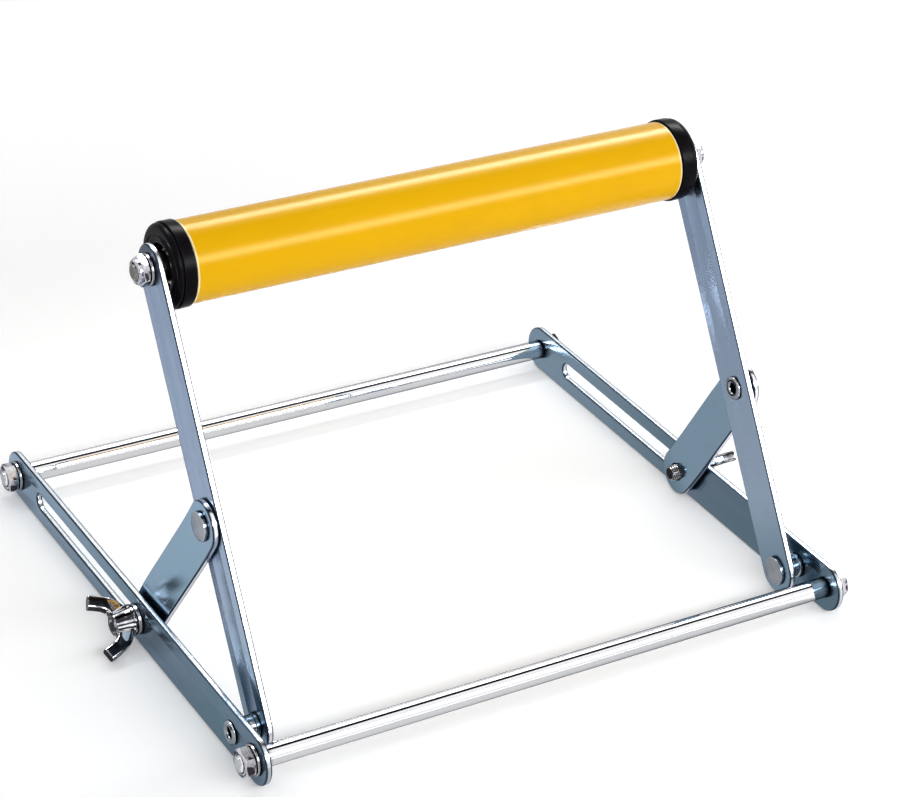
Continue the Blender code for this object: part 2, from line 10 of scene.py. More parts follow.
import bmesh
import bpy
from bpy.props import FloatProperty, FloatVectorProperty, PointerProperty
from mathutils import Matrix, Vector


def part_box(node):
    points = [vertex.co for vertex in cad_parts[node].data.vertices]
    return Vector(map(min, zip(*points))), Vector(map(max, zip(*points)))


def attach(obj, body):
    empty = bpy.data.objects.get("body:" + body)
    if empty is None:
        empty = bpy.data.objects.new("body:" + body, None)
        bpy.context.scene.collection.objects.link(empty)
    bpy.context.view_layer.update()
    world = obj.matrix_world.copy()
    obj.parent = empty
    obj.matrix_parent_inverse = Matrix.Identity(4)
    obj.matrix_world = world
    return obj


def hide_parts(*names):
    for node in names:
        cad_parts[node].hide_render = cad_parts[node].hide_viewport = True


bl_info = {
    "name": "Roller stand",
    "version": (1, 0, 0),
    "blender": (4, 5, 0),
    "location": "3D View > Sidebar > Roller stand",
    "description": "Builds a folding roller stand with its finishes and a studio",
    "category": "Object",
}

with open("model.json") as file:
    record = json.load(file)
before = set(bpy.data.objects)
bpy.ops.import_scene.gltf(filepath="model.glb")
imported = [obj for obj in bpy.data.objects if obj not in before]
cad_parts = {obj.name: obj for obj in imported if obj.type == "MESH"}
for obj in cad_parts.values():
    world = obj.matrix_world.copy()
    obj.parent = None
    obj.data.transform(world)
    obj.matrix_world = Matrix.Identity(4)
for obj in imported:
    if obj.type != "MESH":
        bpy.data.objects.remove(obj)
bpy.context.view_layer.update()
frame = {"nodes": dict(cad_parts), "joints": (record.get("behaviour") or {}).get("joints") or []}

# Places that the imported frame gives
JOINTS = {joint["name"]: joint for joint in frame["joints"]}
PIVOT = Vector(JOINTS["arm_fold"]["pos_m"])
LINK_PIN = Vector((0, *JOINTS["right_link_fold"]["pos_m"][1:]))
ROLLER = Vector(JOINTS["roller_spin"]["pos_m"])
CLAMP = Vector((0, *JOINTS["right_wing_turn"]["pos_m"][1:]))
RAISED_ANGLE = math.atan2(ROLLER.z - PIVOT.z, ROLLER.y - PIVOT.y)
ARM_LENGTH = (ROLLER - PIVOT).length
LINK_REACH = (LINK_PIN - PIVOT).length
LINK_LENGTH = (CLAMP - LINK_PIN).length
SIDES = (("left", -1), ("right", 1))

# Sizes and places shared by the pieces
THREAD_RADIUS = 0.004
THREAD_TIP = 0.0008
THREAD_HOLE_RADIUS = 0.0043
RIVET_HOLE_RADIUS = 0.0043
AXLE_HOLE_RADIUS = 0.0053
SEAT_GAP = 0.0003
OVERRUN = 0.001
SLOT_BACK_Y = 0.102
ROD_REACH = 0.130
ARM_HALF_WIDTH = 0.0114
LINK_HALF_WIDTH = 0.0117
LINK_LEVEL_END = 0.014
TUBE_RADIUS = 0.019
TUBE_WALL = 0.0017
CAP_REACH = 0.009
LOCK_NUT_CROWN = 0.0017
RIVET_HEAD = 0.0022
RIVET_TAIL = 0.0014

# How pieces happen to be turned on the left and on the right, in radians
FRONT_NUT_TURNS = (0.3, 0.1)
REAR_NUT_TURNS = (0.75, 0.5)
LOCK_NUT_TURNS = (0.25, 0.25)
WING_TURNS = (math.radians(32.5), math.radians(142))
UNTURNED = (0.0, 0.0)

# Fineness of the meshes
SHARP_ANGLE = math.radians(32)
MERGE_DISTANCE = 0.0000005
END_STEPS = 40
HOLE_SIDES = 48
ROUND_SIDES = 64
NUT_SIDES = 96
TUBE_SIDES = 128
EDGE_STEPS = 2
VOXEL = 0.00022
NODE_STEP = 200

# The camera, fitted to the view of the stand
CAMERA_PLACE = Vector((-0.62145, -1.01943, 0.77445))
CAMERA_AZIMUTH = math.radians(-31.978)
CAMERA_ELEVATION = math.radians(29.927)
CAMERA_ROLL = math.radians(3.411)
SENSOR_WIDTH = 36.0
CLIP_START = 0.05
CLIP_END = 60.0
MM_PER_METRE = 1000

# The lamps and cards are named as their settings are: place and size
AIM_HEIGHT = 0.08
LAMPS = {
    "back_strip": ((0.73, 0.84, 1.33), (2.6, 0.12)),
    "front_strip": ((0.73, -1.29, 0.82), (2.6, 0.26)),
    "left_fill": ((-2.0, -0.5, 1.9), (1.6, 1.6)),
}
FACING_CARDS = {
    "left_card": ((-1.15, -0.52, 0.38), (0.62, 0.62)),
    "overhead_card": ((0.77, -0.02, 1.5), (3.0, 0.60)),
    "back_card": ((0.73, 0.86, 1.36), (3.4, 0.52)),
    "front_card": ((0.73, -1.32, 0.84), (3.4, 0.46)),
}
# A grey sheet under the stand that only reflections see: a painted shadow of the stand in what the metal
# and enamel mirror
LEVEL_CARDS = {"floor_card": ((0.0, 0.09, -0.0001), (0.31, 0.62))}
FLOOR_HEIGHT = -0.0002
FLOOR_HALF_SIZE = 12.0
LIT_FLOOR_REACH = 0.4
FAR_FLOOR_REACH = 2.6
FLOOR_ROUGHNESS = 0.9
FLOOR_GLOSS = 0.1
FLOOR_DULLING = 0.985

# What several materials share
SMUDGE_ROUGHNESS = 0.08
PEEL_DEPTH = 0.0001
SMUDGE = (0.80, 0.81, 0.83)
COATING_SMUDGE = (0.92, 0.90, 0.86)
# Colour of the painted shade in crevices
PAINTED_CREVICE_SHADE = (0.05, 0.055, 0.065)
CARD_BLACK = (0.01, 0.01, 0.012)
WHITE = (1, 1, 1, 1)


def length_setting(name, description, default):
    """A small size that a user can change."""
    return FloatProperty(
        name=name, description=description, default=default, min=0.0001, max=0.01, unit="LENGTH"
    )


def tone_setting(name, description, default):
    """A colour that a user can change."""
    return FloatVectorProperty(
        name=name, description=description, default=default, size=3, min=0.0, max=1.0, subtype="COLOR"
    )


def power_setting(name, description, default):
    """The power of a lamp, which a user can change."""
    return FloatProperty(
        name=name, description=description, default=default, min=0.0, max=200.0, subtype="POWER"
    )


def glow_setting(name, description, default, high=1.0):
    """The strength of a glow, which a user can change."""
    return FloatProperty(name=name, description=description, default=default, min=0.0, max=high)


class StandSizes(bpy.types.PropertyGroup):
    """Small sizes of the stand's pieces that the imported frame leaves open."""

    edge_round: length_setting("Bar edge", "How far the edges of the flat bars are rounded", 0.0008)
    thread_pitch: length_setting("Thread pitch", "Distance from one turn of a thread to the next", 0.00125)
    thread_depth: length_setting("Thread depth", "Depth of a thread below its crests", 0.0007)
    tube_lip: length_setting("Tube lip", "Width of the rounded lip at each end of the roller tube", 0.0006)
    wing_width: length_setting("Wing width", "Width of a wing of the wing bolt, seen from the side", 0.0066)
    wing_thickness: length_setting("Wing thickness", "Thickness of a wing, seen from its end", 0.0052)


class StandFinishes(bpy.types.PropertyGroup):
    """Colours of the stand's plating, enamel and plastic, and of the painted shade and reflections laid on
    them.
    """

    # The rail tones are painted shade: darker than the arms' for the shaded floor that the rails mirror,
    # darkest at the front
    rail: tone_setting("Rail zinc", "Tone of the rails' plating at the front", (0.108, 0.20, 0.24))
    rail_lilac: tone_setting("Rail lilac", "Second tone that drifts over the rails", (0.145, 0.19, 0.26))
    rail_back: tone_setting("Rail back", "Tone of the rails' plating at the back", (0.25, 0.355, 0.45))
    # Painted reflection on the rails' narrow sides
    rail_edge: tone_setting("Rail edge", "Tone of the narrow sides of the rails", (0.56, 0.60, 0.64))
    arm: tone_setting("Arm zinc", "Tone of the arms' plating halfway along", (0.35, 0.48, 0.585))
    arm_lilac: tone_setting("Arm lilac", "Second tone that drifts over the arms", (0.36, 0.42, 0.565))
    # Painted shade on the arms: darker below the axle, at the pivot and, darkest, round the lock nuts
    arm_top: tone_setting("Arm top", "Tone of the arms' plating below the axle", (0.26, 0.34, 0.47))
    arm_foot: tone_setting("Arm foot", "Tone of the arms' plating at the pivot", (0.22, 0.325, 0.42))
    arm_head: tone_setting("Arm head", "Tone of the arms' plating round the lock nuts", (0.07, 0.085, 0.11))
    link: tone_setting("Link zinc", "Tone of the brace links' plating", (0.23, 0.375, 0.475))
    link_lilac: tone_setting("Link lilac", "Second tone that drifts over the links", (0.27, 0.36, 0.48))
    # Painted reflections: bright on the narrow sides of arms and links, dark on the eased corners of all
    # bars
    bar_edge: tone_setting("Bar edge", "Tone of the narrow sides of arms and links", (0.84, 0.84, 0.90))
    painted_corner_reflection: tone_setting("Bar corner", "Tone of the eased corners of the bars", (0.028, 0.036, 0.05))
    bright_zinc: tone_setting("Bright zinc", "Tone of the nuts and washers", (0.80, 0.80, 0.83))
    rivet_zinc: tone_setting("Rivet zinc", "Tone of rivets and bushes", (0.27, 0.30, 0.33))
    chrome: tone_setting("Chrome", "Tone of the cross rods", (0.92, 0.92, 0.93))
    # Painted near black for the dark surroundings that the wing bolts' chrome mirrors
    cast_chrome: tone_setting("Cast chrome", "Tone of the wing bolts' dark parts", (0.045, 0.045, 0.05))
    # Painted dark so that the bearing pockets in the caps stay in shade
    steel: tone_setting("Bearing steel", "Tone of the axle and the bearings", (0.22, 0.22, 0.22))
    enamel: tone_setting("Yellow enamel", "Colour of the roller tube", (0.81, 0.44, 0.0))
    plastic: tone_setting("Black plastic", "Colour of the roller's end caps", (0.002, 0.0018, 0.0022))


class StudioSettings(bpy.types.PropertyGroup):
    """Light, floor and camera of the studio."""

    back_strip: power_setting("Back strip", "Power of the strip light above the back", 10.0)
    front_strip: power_setting("Front strip", "Power of the strip light in front", 19.0)
    left_fill: power_setting("Left fill", "Power of the broad light from the left", 7.0)
    left_card: glow_setting("Left card", "Glow of the card on the left", 0.0)
    overhead_card: glow_setting("Overhead card", "Glow of the card above the stand", 0.0)
    back_card: glow_setting("Back card", "Glow that gives the gloss its upper streak", 19.0, 100.0)
    front_card: glow_setting("Front card", "Glow that gives the gloss its lower streak", 15.0, 100.0)
    # Glow of the painted shadow card under the stand
    floor_card: glow_setting("Floor card", "Glow of the grey card under the stand", 0.70)
    sky: glow_setting("Sky", "Strength of the even light all round", 0.40, 2.0)
    floor: tone_setting("Floor", "Colour of the floor", (0.90, 0.90, 0.90))
    floor_glow: glow_setting("Floor glow", "Lift of the floor where it is seen directly", 0.20)
    far_glow: glow_setting("Far glow", "The same far from the stand, where the lamps do not reach", 0.62)
    focal_length: FloatProperty(
        name="Focal length",
        description="Focal length of the camera",
        default=0.1153,
        min=0.02,
        max=0.5,
        unit="CAMERA",
    )


def arc(centre, radius, start, end, steps):
    """Points on an arc in a plane, both ends included, with angles in degrees."""
    points = []
    for step in range(steps + 1):
        angle = math.radians(start + (end - start) * step / steps)
        points.append((centre[0] + radius * math.cos(angle), centre[1] + radius * math.sin(angle)))
    return points


def circle(centre, radius, sides=HOLE_SIDES):
    """A closed outline of equal sides."""
    return arc(centre, radius, 0, 360, sides)[:-1]


def round_ended(start, end, radius):
    """The outline of a bar or slot with round ends, whose centres lie at start and end."""
    return arc((end, 0), radius, -90, 90, END_STEPS) + arc((start, 0), radius, 90, 270, END_STEPS)


def mirrored(half):
    """A profile that is the same at both ends, from the half with positive places."""
    return [(-along, radius) for along, radius in reversed(half)] + half


def in_scene(name, data):
    """A new object of the scene that holds the data."""
    made = bpy.data.objects.new(name, data)
    bpy.context.scene.collection.objects.link(made)
    return made


def cleaned(mesh):
    """Merge what coincides, turn the faces outwards and shade the rounds smooth."""
    shape = bmesh.new()
    shape.from_mesh(mesh)
    bmesh.ops.remove_doubles(shape, verts=shape.verts, dist=MERGE_DISTANCE)
    bmesh.ops.dissolve_degenerate(shape, dist=MERGE_DISTANCE, edges=shape.edges)
    bmesh.ops.recalc_face_normals(shape, faces=shape.faces)
    shape.to_mesh(mesh)
    shape.free()
    mesh.shade_smooth()
    mesh.set_sharp_from_angle(angle=SHARP_ANGLE)
    return mesh


def mesh_from(name, shape):
    """A new mesh from a shape in the making, which ends with it."""
    mesh = bpy.data.meshes.new(name)
    shape.to_mesh(mesh)
    shape.free()
    return mesh


def flat_bar(name, outlines, thickness, edge):
    """A piece cut from flat bar: the first outline is its edge and the others are holes.

    The outlines lie in the YZ plane, the thickness is centred on X and the edges are rounded.
    """
    curve = bpy.data.curves.new(name, "CURVE")
    curve.dimensions = "2D"
    curve.fill_mode = "BOTH"
    curve.extrude = thickness / 2 - edge
    curve.bevel_depth = edge
    curve.bevel_resolution = EDGE_STEPS
    curve.offset = -edge
    for outline in outlines:
        spline = curve.splines.new("POLY")
        spline.points.add(len(outline) - 1)
        for point, place in zip(spline.points, outline):
            point.co = (place[0], place[1], 0, 1)
        spline.use_cyclic_u = True
    helper = bpy.data.objects.new(name, curve)
    mesh = bpy.data.meshes.new_from_object(helper)
    bpy.data.objects.remove(helper)
    mesh.transform(Matrix(((0, 0, 1, 0), (1, 0, 0, 0), (0, 1, 0, 0), (0, 0, 0, 1))))
    return cleaned(mesh)


def turned(name, profile, sides=ROUND_SIDES):
    """A piece turned about X. The profile is a run of (place along X, radius).

    It starts and ends on the axis, or else it is closed round a bore.
    """
    shape = bmesh.new()
    verts = [shape.verts.new((along, 0, radius)) for along, radius in profile]
    edges = [shape.edges.new(pair) for pair in zip(verts, verts[1:])]
    if profile[0][1] > 0:
        edges.append(shape.edges.new((verts[-1], verts[0])))
    bmesh.ops.spin(
        shape,
        geom=verts + edges,
        cent=Vector((0, 0, 0)),
        axis=Vector((1, 0, 0)),
        angle=math.tau,
        steps=sides,
        use_merge=True,
    )
    return cleaned(mesh_from(name, shape))


def lofted(name, rings):
    """A closed body through rings of equally many points, with flat ends."""
    shape = bmesh.new()
    rings = [[shape.verts.new(point) for point in ring] for ring in rings]
    for low, high in zip(rings, rings[1:]):
        for side in range(len(low)):
            other = (side + 1) % len(low)
            shape.faces.new((low[side], low[other], high[other], high[side]))
    shape.faces.new(rings[0])
    shape.faces.new(rings[-1])
    return cleaned(mesh_from(name, shape))


def screw_thread(name, start, end, sizes):
    """A threaded stud along X with a chamfered tip at its end, as one closed body."""
    sides = 48
    rings_a_pitch = 8
    flank_slope = 2.6
    crest_share = 0.15
    pitch = sizes.thread_pitch
    count = max(2, round((end - start) / pitch * rings_a_pitch))
    rings = []
    for ring in range(count + 1):
        along = start + (end - start) * ring / count
        limit = THREAD_RADIUS - max(0.0, THREAD_TIP - (end - along))
        points = []
        for side in range(sides):
            turn = side / sides
            phase = (along / pitch - turn) % 1.0
            flank = min(1.0, max(0.0, abs(phase - 0.5) * flank_slope - crest_share))
            reach = min(limit, THREAD_RADIUS - sizes.thread_depth * flank)
            angle = math.tau * turn
            points.append((along, reach * math.sin(angle), reach * math.cos(angle)))
        rings.append(points)
    return lofted(name, rings)


def shaped(name, mesh, *modifiers):
    """A mesh after modifiers, each given as (type, {setting: value})."""
    helper = in_scene(name, mesh)
    for kind, settings in modifiers:
        modifier = helper.modifiers.new(kind.lower(), kind)
        for setting, value in settings.items():
            setattr(modifier, setting, value)
    graph = bpy.context.evaluated_depsgraph_get()
    result = bpy.data.meshes.new_from_object(helper.evaluated_get(graph))
    bpy.data.objects.remove(helper)
    return result


def combined(name, base, other, operation):
    """The mesh that a Boolean makes from two closed meshes."""
    cutter = in_scene(name + "_other", other)
    result = shaped(name, base, ("BOOLEAN", {"operation": operation, "object": cutter, "solver": "EXACT"}))
    bpy.data.objects.remove(cutter)
    return cleaned(result)


def threaded_ends(name, core, shoulder, tip, sizes):
    """A core along X with a threaded stud from each of its shoulders to a tip, as one body."""
    thread = screw_thread(name + "_thread", shoulder - OVERRUN, tip, sizes)
    other = thread.copy()
    other.transform(Matrix.Rotation(math.pi, 4, "Z"))
    return combined(name, combined(name, core, thread, "UNION"), other, "UNION")


def set_inputs(node, values):
    """Give a node's inputs their values."""
    for name, value in values.items():
        node.inputs[name].default_value = value


def new_node(tree, kind, values=None):
    """A shader node. Lower-case keys of the values are its settings, and the others are inputs."""
    made = tree.nodes.new("ShaderNode" + kind)
    made.location = (NODE_STEP * len(tree.nodes), 0)
    inputs = dict(values or {})
    for key in [key for key in inputs if isinstance(key, str) and key.islower()]:
        setattr(made, key, inputs.pop(key))
    set_inputs(made, inputs)
    return made


def find_socket(sockets, name):
    """A socket by its name, or by its number where sockets share a name."""
    return sockets[int(name)] if name.isdigit() else sockets[name]


def add_nodes(tree, known, table, wires):
    """Add the nodes of a table {key: (kind, values)} to a tree, and join them and the known ones.

    A wire is written as "key.Output > key.Input", and a comma stands between two wires.
    """
    nodes = dict(known)
    for key, (kind, values) in table.items():
        nodes[key] = new_node(tree, kind, values)
    for wire in ", ".join(wires).split(", "):
        (start, output), (end, target) = [side.split(".") for side in wire.split(" > ")]
        tree.links.new(find_socket(nodes[start].outputs, output), find_socket(nodes[end].inputs, target))
    return nodes


def node_group(name, inputs, outputs, table, wires):
    """A shader node group, built once, with inputs {socket: default} and outputs {socket: kind}."""
    tree = bpy.data.node_groups.get(name)
    if tree:
        return tree
    tree = bpy.data.node_groups.new(name, "ShaderNodeTree")
    for socket_name, default in inputs.items():
        kind = {1: "Float", 3: "Vector", 4: "Color"}[len(default) if isinstance(default, tuple) else 1]
        kind = "NodeSocket" + kind
        socket = tree.interface.new_socket(name=socket_name, in_out="INPUT", socket_type=kind)
        socket.default_value = default
    for socket_name, kind in outputs.items():
        tree.interface.new_socket(name=socket_name, in_out="OUTPUT", socket_type="NodeSocket" + kind)
    known = {"in": tree.nodes.new("NodeGroupInput"), "out": tree.nodes.new("NodeGroupOutput")}
    add_nodes(tree, known, table, wires)
    known["out"].location = (NODE_STEP * len(tree.nodes), 0)
    return tree


def drifting_tone():
    """Two tones of one finish that drift into each other over a piece."""
    return node_group(
        "Drifting tone",
        {"First": (0.5, 0.5, 0.5, 1), "Second": (0.6, 0.6, 0.6, 1), "Scale": 20.0, "Spread": 0.3},
        {"Colour": "Color"},
        {
            "place": ("TexCoord", {}),
            "noise": ("TexNoise", {"Detail": 4.0, "Roughness": 0.55}),
            "low": ("Math", {"operation": "SUBTRACT", 0: 0.5}),
            "high": ("Math", {"operation": "ADD", 0: 0.5}),
            "spread": ("MapRange", {}),
            "mix": ("Mix", {"data_type": "RGBA"}),
        },
        (
            "place.Object > noise.Vector, in.Scale > noise.Scale, in.Spread > low.1",
            "in.Spread > high.1, noise.Fac > spread.Value, low.0 > spread.From Min",
            "high.0 > spread.From Max, spread.Result > mix.Factor, in.First > mix.A, in.Second > mix.B",
            "mix.Result > out.Colour",
        ),
    )


def edge_reflection_mask():
    """A mask of the edges, broken up by noise, for a painted reflection along them: a highlight on most
    pieces and a dark line on the bars.
    """
    return node_group(
        "Edge polish",
        {"Width": 0.0006, "Strength": 1.0},
        {"Mask": "Float"},
        {
            "surface": ("NewGeometry", {}),
            "bevel": ("Bevel", {"samples": 4}),
            "dot": ("VectorMath", {"operation": "DOT_PRODUCT"}),
            "turn": ("MapRange", {"From Min": 0.995, "From Max": 0.90}),
            "place": ("TexCoord", {}),
            "noise": ("TexNoise", {"Scale": 900.0, "Detail": 3.0}),
            "broken": ("MapRange", {"From Min": 0.3, "From Max": 0.6, "To Min": 0.45}),
            "worn": ("Math", {"operation": "MULTIPLY"}),
            "strong": ("Math", {"operation": "MULTIPLY", "use_clamp": True}),
        },
        (
            "in.Width > bevel.Radius, surface.Normal > dot.0, bevel.Normal > dot.1",
            "dot.Value > turn.Value, place.Object > noise.Vector, noise.Fac > broken.Value",
            "turn.Result > worn.0, broken.Result > worn.1, worn.0 > strong.0, in.Strength > strong.1",
            "strong.0 > out.Mask",
        ),
    )


def fading_tone():
    """A mask that rises from a start to an end along one direction of the piece."""
    return node_group(
        "Fading tone",
        {"Direction": (0, 1, 0), "Start": 0.0, "End": 1.0},
        {"Mask": "Float"},
        {
            "place": ("TexCoord", {}),
            "along": ("VectorMath", {"operation": "DOT_PRODUCT"}),
            "rise": ("MapRange", {"interpolation_type": "SMOOTHSTEP"}),
        },
        (
            "place.Object > along.0, in.Direction > along.1, along.Value > rise.Value",
            "in.Start > rise.From Min, in.End > rise.From Max, rise.Result > out.Mask",
        ),
    )


def both_ends():
    """A mask of both ends along X of a piece that is centred on its origin."""
    return node_group(
        "Both ends",
        {"Start": 0.0, "End": 1.0},
        {"Mask": "Float"},
        {
            "place": ("TexCoord", {}),
            "parts": ("SeparateXYZ", {}),
            "size": ("Math", {"operation": "ABSOLUTE"}),
            "rise": ("MapRange", {}),
        },
        (
            "place.Object > parts.0, parts.X > size.0, size.0 > rise.Value, in.Start > rise.From Min",
            "in.End > rise.From Max, rise.Result > out.Mask",
        ),
    )


def bar_edge_reflection_masks():
    """Masks of a flat bar's narrow sides, which face away from its X axis, and of its eased corners, which
    carry painted reflections.
    """
    return node_group(
        "Bar edge",
        {},
        {"Mask": "Float", "Corner": "Float"},
        {
            "facing": ("TexCoord", {}),
            "parts": ("SeparateXYZ", {}),
            "size": ("Math", {"operation": "ABSOLUTE"}),
            "narrow": ("MapRange", {"From Min": 0.30, "From Max": 0.10}),
            "rise": ("MapRange", {"From Min": 0.08, "From Max": 0.22}),
            "fall": ("MapRange", {"From Min": 0.98, "From Max": 0.85}),
            "corner": ("Math", {"operation": "MINIMUM"}),
        },
        (
            "facing.Normal > parts.0, parts.X > size.0, size.0 > narrow.Value, size.0 > rise.Value",
            "size.0 > fall.Value, rise.Result > corner.0, fall.Result > corner.1",
            "narrow.Result > out.Mask, corner.0 > out.Corner",
        ),
    )


def painted_reflection_streaks():
    """A mask of painted reflection streaks, light and dark, that change with the way the surface faces and
    along it.
    """
    return node_group(
        "Uneven plating",
        {"Facing scale": 1.5, "Place scale": 120.0, "Level": 0.5, "Spread": 0.05},
        {"Mask": "Float"},
        {
            "source": ("TexCoord", {}),
            "facing": ("VectorMath", {"operation": "SCALE"}),
            "place": ("VectorMath", {"operation": "SCALE"}),
            "both": ("VectorMath", {"operation": "ADD"}),
            "noise": ("TexNoise", {"Scale": 1.0, "Detail": 0.8, "Distortion": 0.4}),
            "low": ("Math", {"operation": "SUBTRACT"}),
            "high": ("Math", {"operation": "ADD"}),
            "turn": ("MapRange", {"interpolation_type": "SMOOTHSTEP"}),
        },
        (
            "source.Normal > facing.0, in.Facing scale > facing.Scale, source.Object > place.0",
            "in.Place scale > place.Scale, facing.Vector > both.0, place.Vector > both.1",
            "both.Vector > noise.Vector, in.Level > low.0, in.Spread > low.1, in.Level > high.0",
            "in.Spread > high.1, noise.Fac > turn.Value, low.0 > turn.From Min, high.0 > turn.From Max",
            "turn.Result > out.Mask",
        ),
    )


def painted_crevice_shade():
    """A mask of painted shade in the crevices between and inside pieces, from ambient occlusion."""
    return node_group(
        "Crevice",
        {"Reach": 0.002, "Amount": 1.0},
        {"Mask": "Float"},
        {
            "hidden": ("AmbientOcclusion", {"samples": 8}),
            "deep": ("MapRange", {"From Min": 0.75, "From Max": 0.25}),
            "amount": ("Math", {"operation": "MULTIPLY"}),
        },
        (
            "in.Reach > hidden.Distance, hidden.AO > deep.Value, deep.Result > amount.0",
            "in.Amount > amount.1, amount.0 > out.Mask",
        ),
    )


def drawn_grain():
    """Fine lines that rolling, drawing or turning leaves, as a height and a mask."""
    return node_group(
        "Drawn grain",
        {"Stretch": (1, 1, 1), "Scale": 800.0, "Pits": 0.3},
        {"Height": "Float", "Mask": "Float"},
        {
            "place": ("TexCoord", {}),
            "stretch": ("VectorMath", {"operation": "MULTIPLY"}),
            "lines": ("TexNoise", {"Detail": 3.0, "Roughness": 0.6}),
            "pits": ("TexNoise", {"Scale": 2600.0, "Detail": 2.0}),
            "weigh": ("Mix", {"data_type": "FLOAT"}),
        },
        (
            "place.Object > stretch.0, in.Stretch > stretch.1, stretch.Vector > lines.Vector",
            "in.Scale > lines.Scale, place.Object > pits.Vector, in.Pits > weigh.Factor",
            "lines.Fac > weigh.A, pits.Fac > weigh.B, weigh.Result > out.Height, lines.Fac > out.Mask",
        ),
    )


def handling_marks():
    """Sparse smudges and hairline scratches, as a mask."""
    return node_group(
        "Handling marks",
        {"Scale": 60.0, "Amount": 0.5},
        {"Mask": "Float"},
        {
            "place": ("TexCoord", {}),
            "smudge": ("TexNoise", {"Detail": 5.0, "Distortion": 0.6}),
            "smudge_edge": ("MapRange", {"From Min": 0.52, "From Max": 0.75}),
            "slant": ("Mapping", {"Rotation": (0.5, 0.7, 0.2), "Scale": (1, 30, 1)}),
            "hair": ("TexNoise", {"Scale": 55.0, "Detail": 2.0}),
            "hair_edge": ("MapRange", {"From Min": 0.66, "From Max": 0.72, "To Max": 0.6}),
            "both": ("Math", {"operation": "MAXIMUM"}),
            "amount": ("Math", {"operation": "MULTIPLY"}),
        },
        (
            "place.Object > smudge.Vector, in.Scale > smudge.Scale, smudge.Fac > smudge_edge.Value",
            "place.Object > slant.Vector, slant.Vector > hair.Vector, hair.Fac > hair_edge.Value",
            "smudge_edge.Result > both.0, hair_edge.Result > both.1, both.0 > amount.0",
            "in.Amount > amount.1, amount.0 > out.Mask",
        ),
    )


def effect(tree, group, values):
    """The outputs of a group that is placed in a material with its own values."""
    made = new_node(tree, "Group")
    made.node_tree = group
    set_inputs(made, values)
    return made.outputs


def blend(tree, below, above, factor, mode="MIX"):
    """Lay one colour over another. Each is a socket or a plain colour, and the factor is a socket."""
    mix = new_node(tree, "Mix", {"data_type": "RGBA", "blend_type": mode})
    for name, value in (("A", below), ("B", above)):
        if isinstance(value, bpy.types.NodeSocket):
            tree.links.new(value, mix.inputs[name])
        else:
            mix.inputs[name].default_value = (*value, 1)
    tree.links.new(factor, mix.inputs["Factor"])
    return mix.outputs["Result"]


def started_material(name, colour):
    """A new material with its node tree and its shader."""
    material = bpy.data.materials.new(name)
    material.use_nodes = True
    material.diffuse_color = (*colour, 1)
    return material, material.node_tree, material.node_tree.nodes["Principled BSDF"]


def chosen(name):
    """A colour from the finishes' settings."""
    return tuple(getattr(bpy.context.scene.stand_finishes, name))


def scaled(colour, *factors):
    """A colour with each of its channels times a factor."""
    return tuple(channel * factor for channel, factor in zip(colour, factors))


def drifted(tree, tones, drift):
    """The colour of two tones that drift into each other."""
    first, second = [(*tone, 1) for tone in tones]
    values = {"First": first, "Second": second, "Scale": drift[0], "Spread": drift[1]}
    return effect(tree, drifting_tone(), values)["Colour"]


def metal(
    name, tones, drift, grain, rough, polish, marks, crevice, rim, fades=(), bar_edge=None, plating=None
):
    """A plated or polished metal.

    tones: first and second tone. drift: scale and spread of their mix. grain: stretch, scale,
    share of pits, bump strength and bump distance. rough: least and greatest roughness.
    polish: width, strength and tone of the painted reflection along the edges, a highlight
    on most pieces and a dark line on the bars. marks: scale and amount of handling marks.
    crevice: reach and amount of the painted shade in crevices. rim: tint at grazing angles.
    fades: tone, direction, start and end of each lengthwise fade of painted shade.
    bar_edge: tones of the painted reflections on a flat bar's narrow sides and on its
    corners. plating: tone, facing scale, place scale, level and spread of the painted reflection streaks.
    """
    made = bpy.data.materials.get(name)
    if made:
        return made
    material, tree, shader = started_material(name, tones[0])
    set_inputs(shader, {"Metallic": 1.0, "Specular Tint": (*rim, 1)})
    colour = drifted(tree, tones, drift)
    for tone, direction, start, end in fades:
        fade = effect(tree, fading_tone(), {"Direction": direction, "Start": start, "End": end})
        colour = blend(tree, colour, tone, fade["Mask"])
    if bar_edge:
        masks = effect(tree, bar_edge_reflection_masks(), {})
        colour = blend(tree, colour, bar_edge[0], masks["Mask"])
        colour = blend(tree, colour, bar_edge[1], masks["Corner"])
    if plating:
        tone, facing, place, level, spread = plating
        values = {"Facing scale": facing, "Place scale": place, "Level": level, "Spread": spread}
        colour = blend(tree, colour, tone, effect(tree, painted_reflection_streaks(), values)["Mask"])
    worn = effect(tree, edge_reflection_mask(), {"Width": polish[0], "Strength": polish[1]})
    colour = blend(tree, colour, polish[2], worn["Mask"])
    handled = effect(tree, handling_marks(), {"Scale": marks[0], "Amount": marks[1]})
    colour = blend(tree, colour, SMUDGE, handled["Mask"], "MULTIPLY")
    dark = effect(tree, painted_crevice_shade(), {"Reach": crevice[0], "Amount": crevice[1]})
    colour = blend(tree, colour, PAINTED_CREVICE_SHADE, dark["Mask"], "MULTIPLY")
    tree.links.new(colour, shader.inputs["Base Color"])
    lines = effect(tree, drawn_grain(), {"Stretch": grain[0], "Scale": grain[1], "Pits": grain[2]})
    nodes = add_nodes(
        tree,
        {"shader": shader},
        {
            "roughness": ("MapRange", {"To Min": rough[0], "To Max": rough[1]}),
            "smear": ("Math", {"operation": "MULTIPLY_ADD", 1: SMUDGE_ROUGHNESS}),
            "bump": ("Bump", {"Strength": grain[3], "Distance": grain[4]}),
        },
        ("roughness.Result > smear.2", "smear.0 > shader.Roughness", "bump.Normal > shader.Normal"),
    )
    tree.links.new(lines["Mask"], nodes["roughness"].inputs["Value"])
    tree.links.new(handled["Mask"], nodes["smear"].inputs[0])
    tree.links.new(lines["Height"], nodes["bump"].inputs["Height"])
    return material


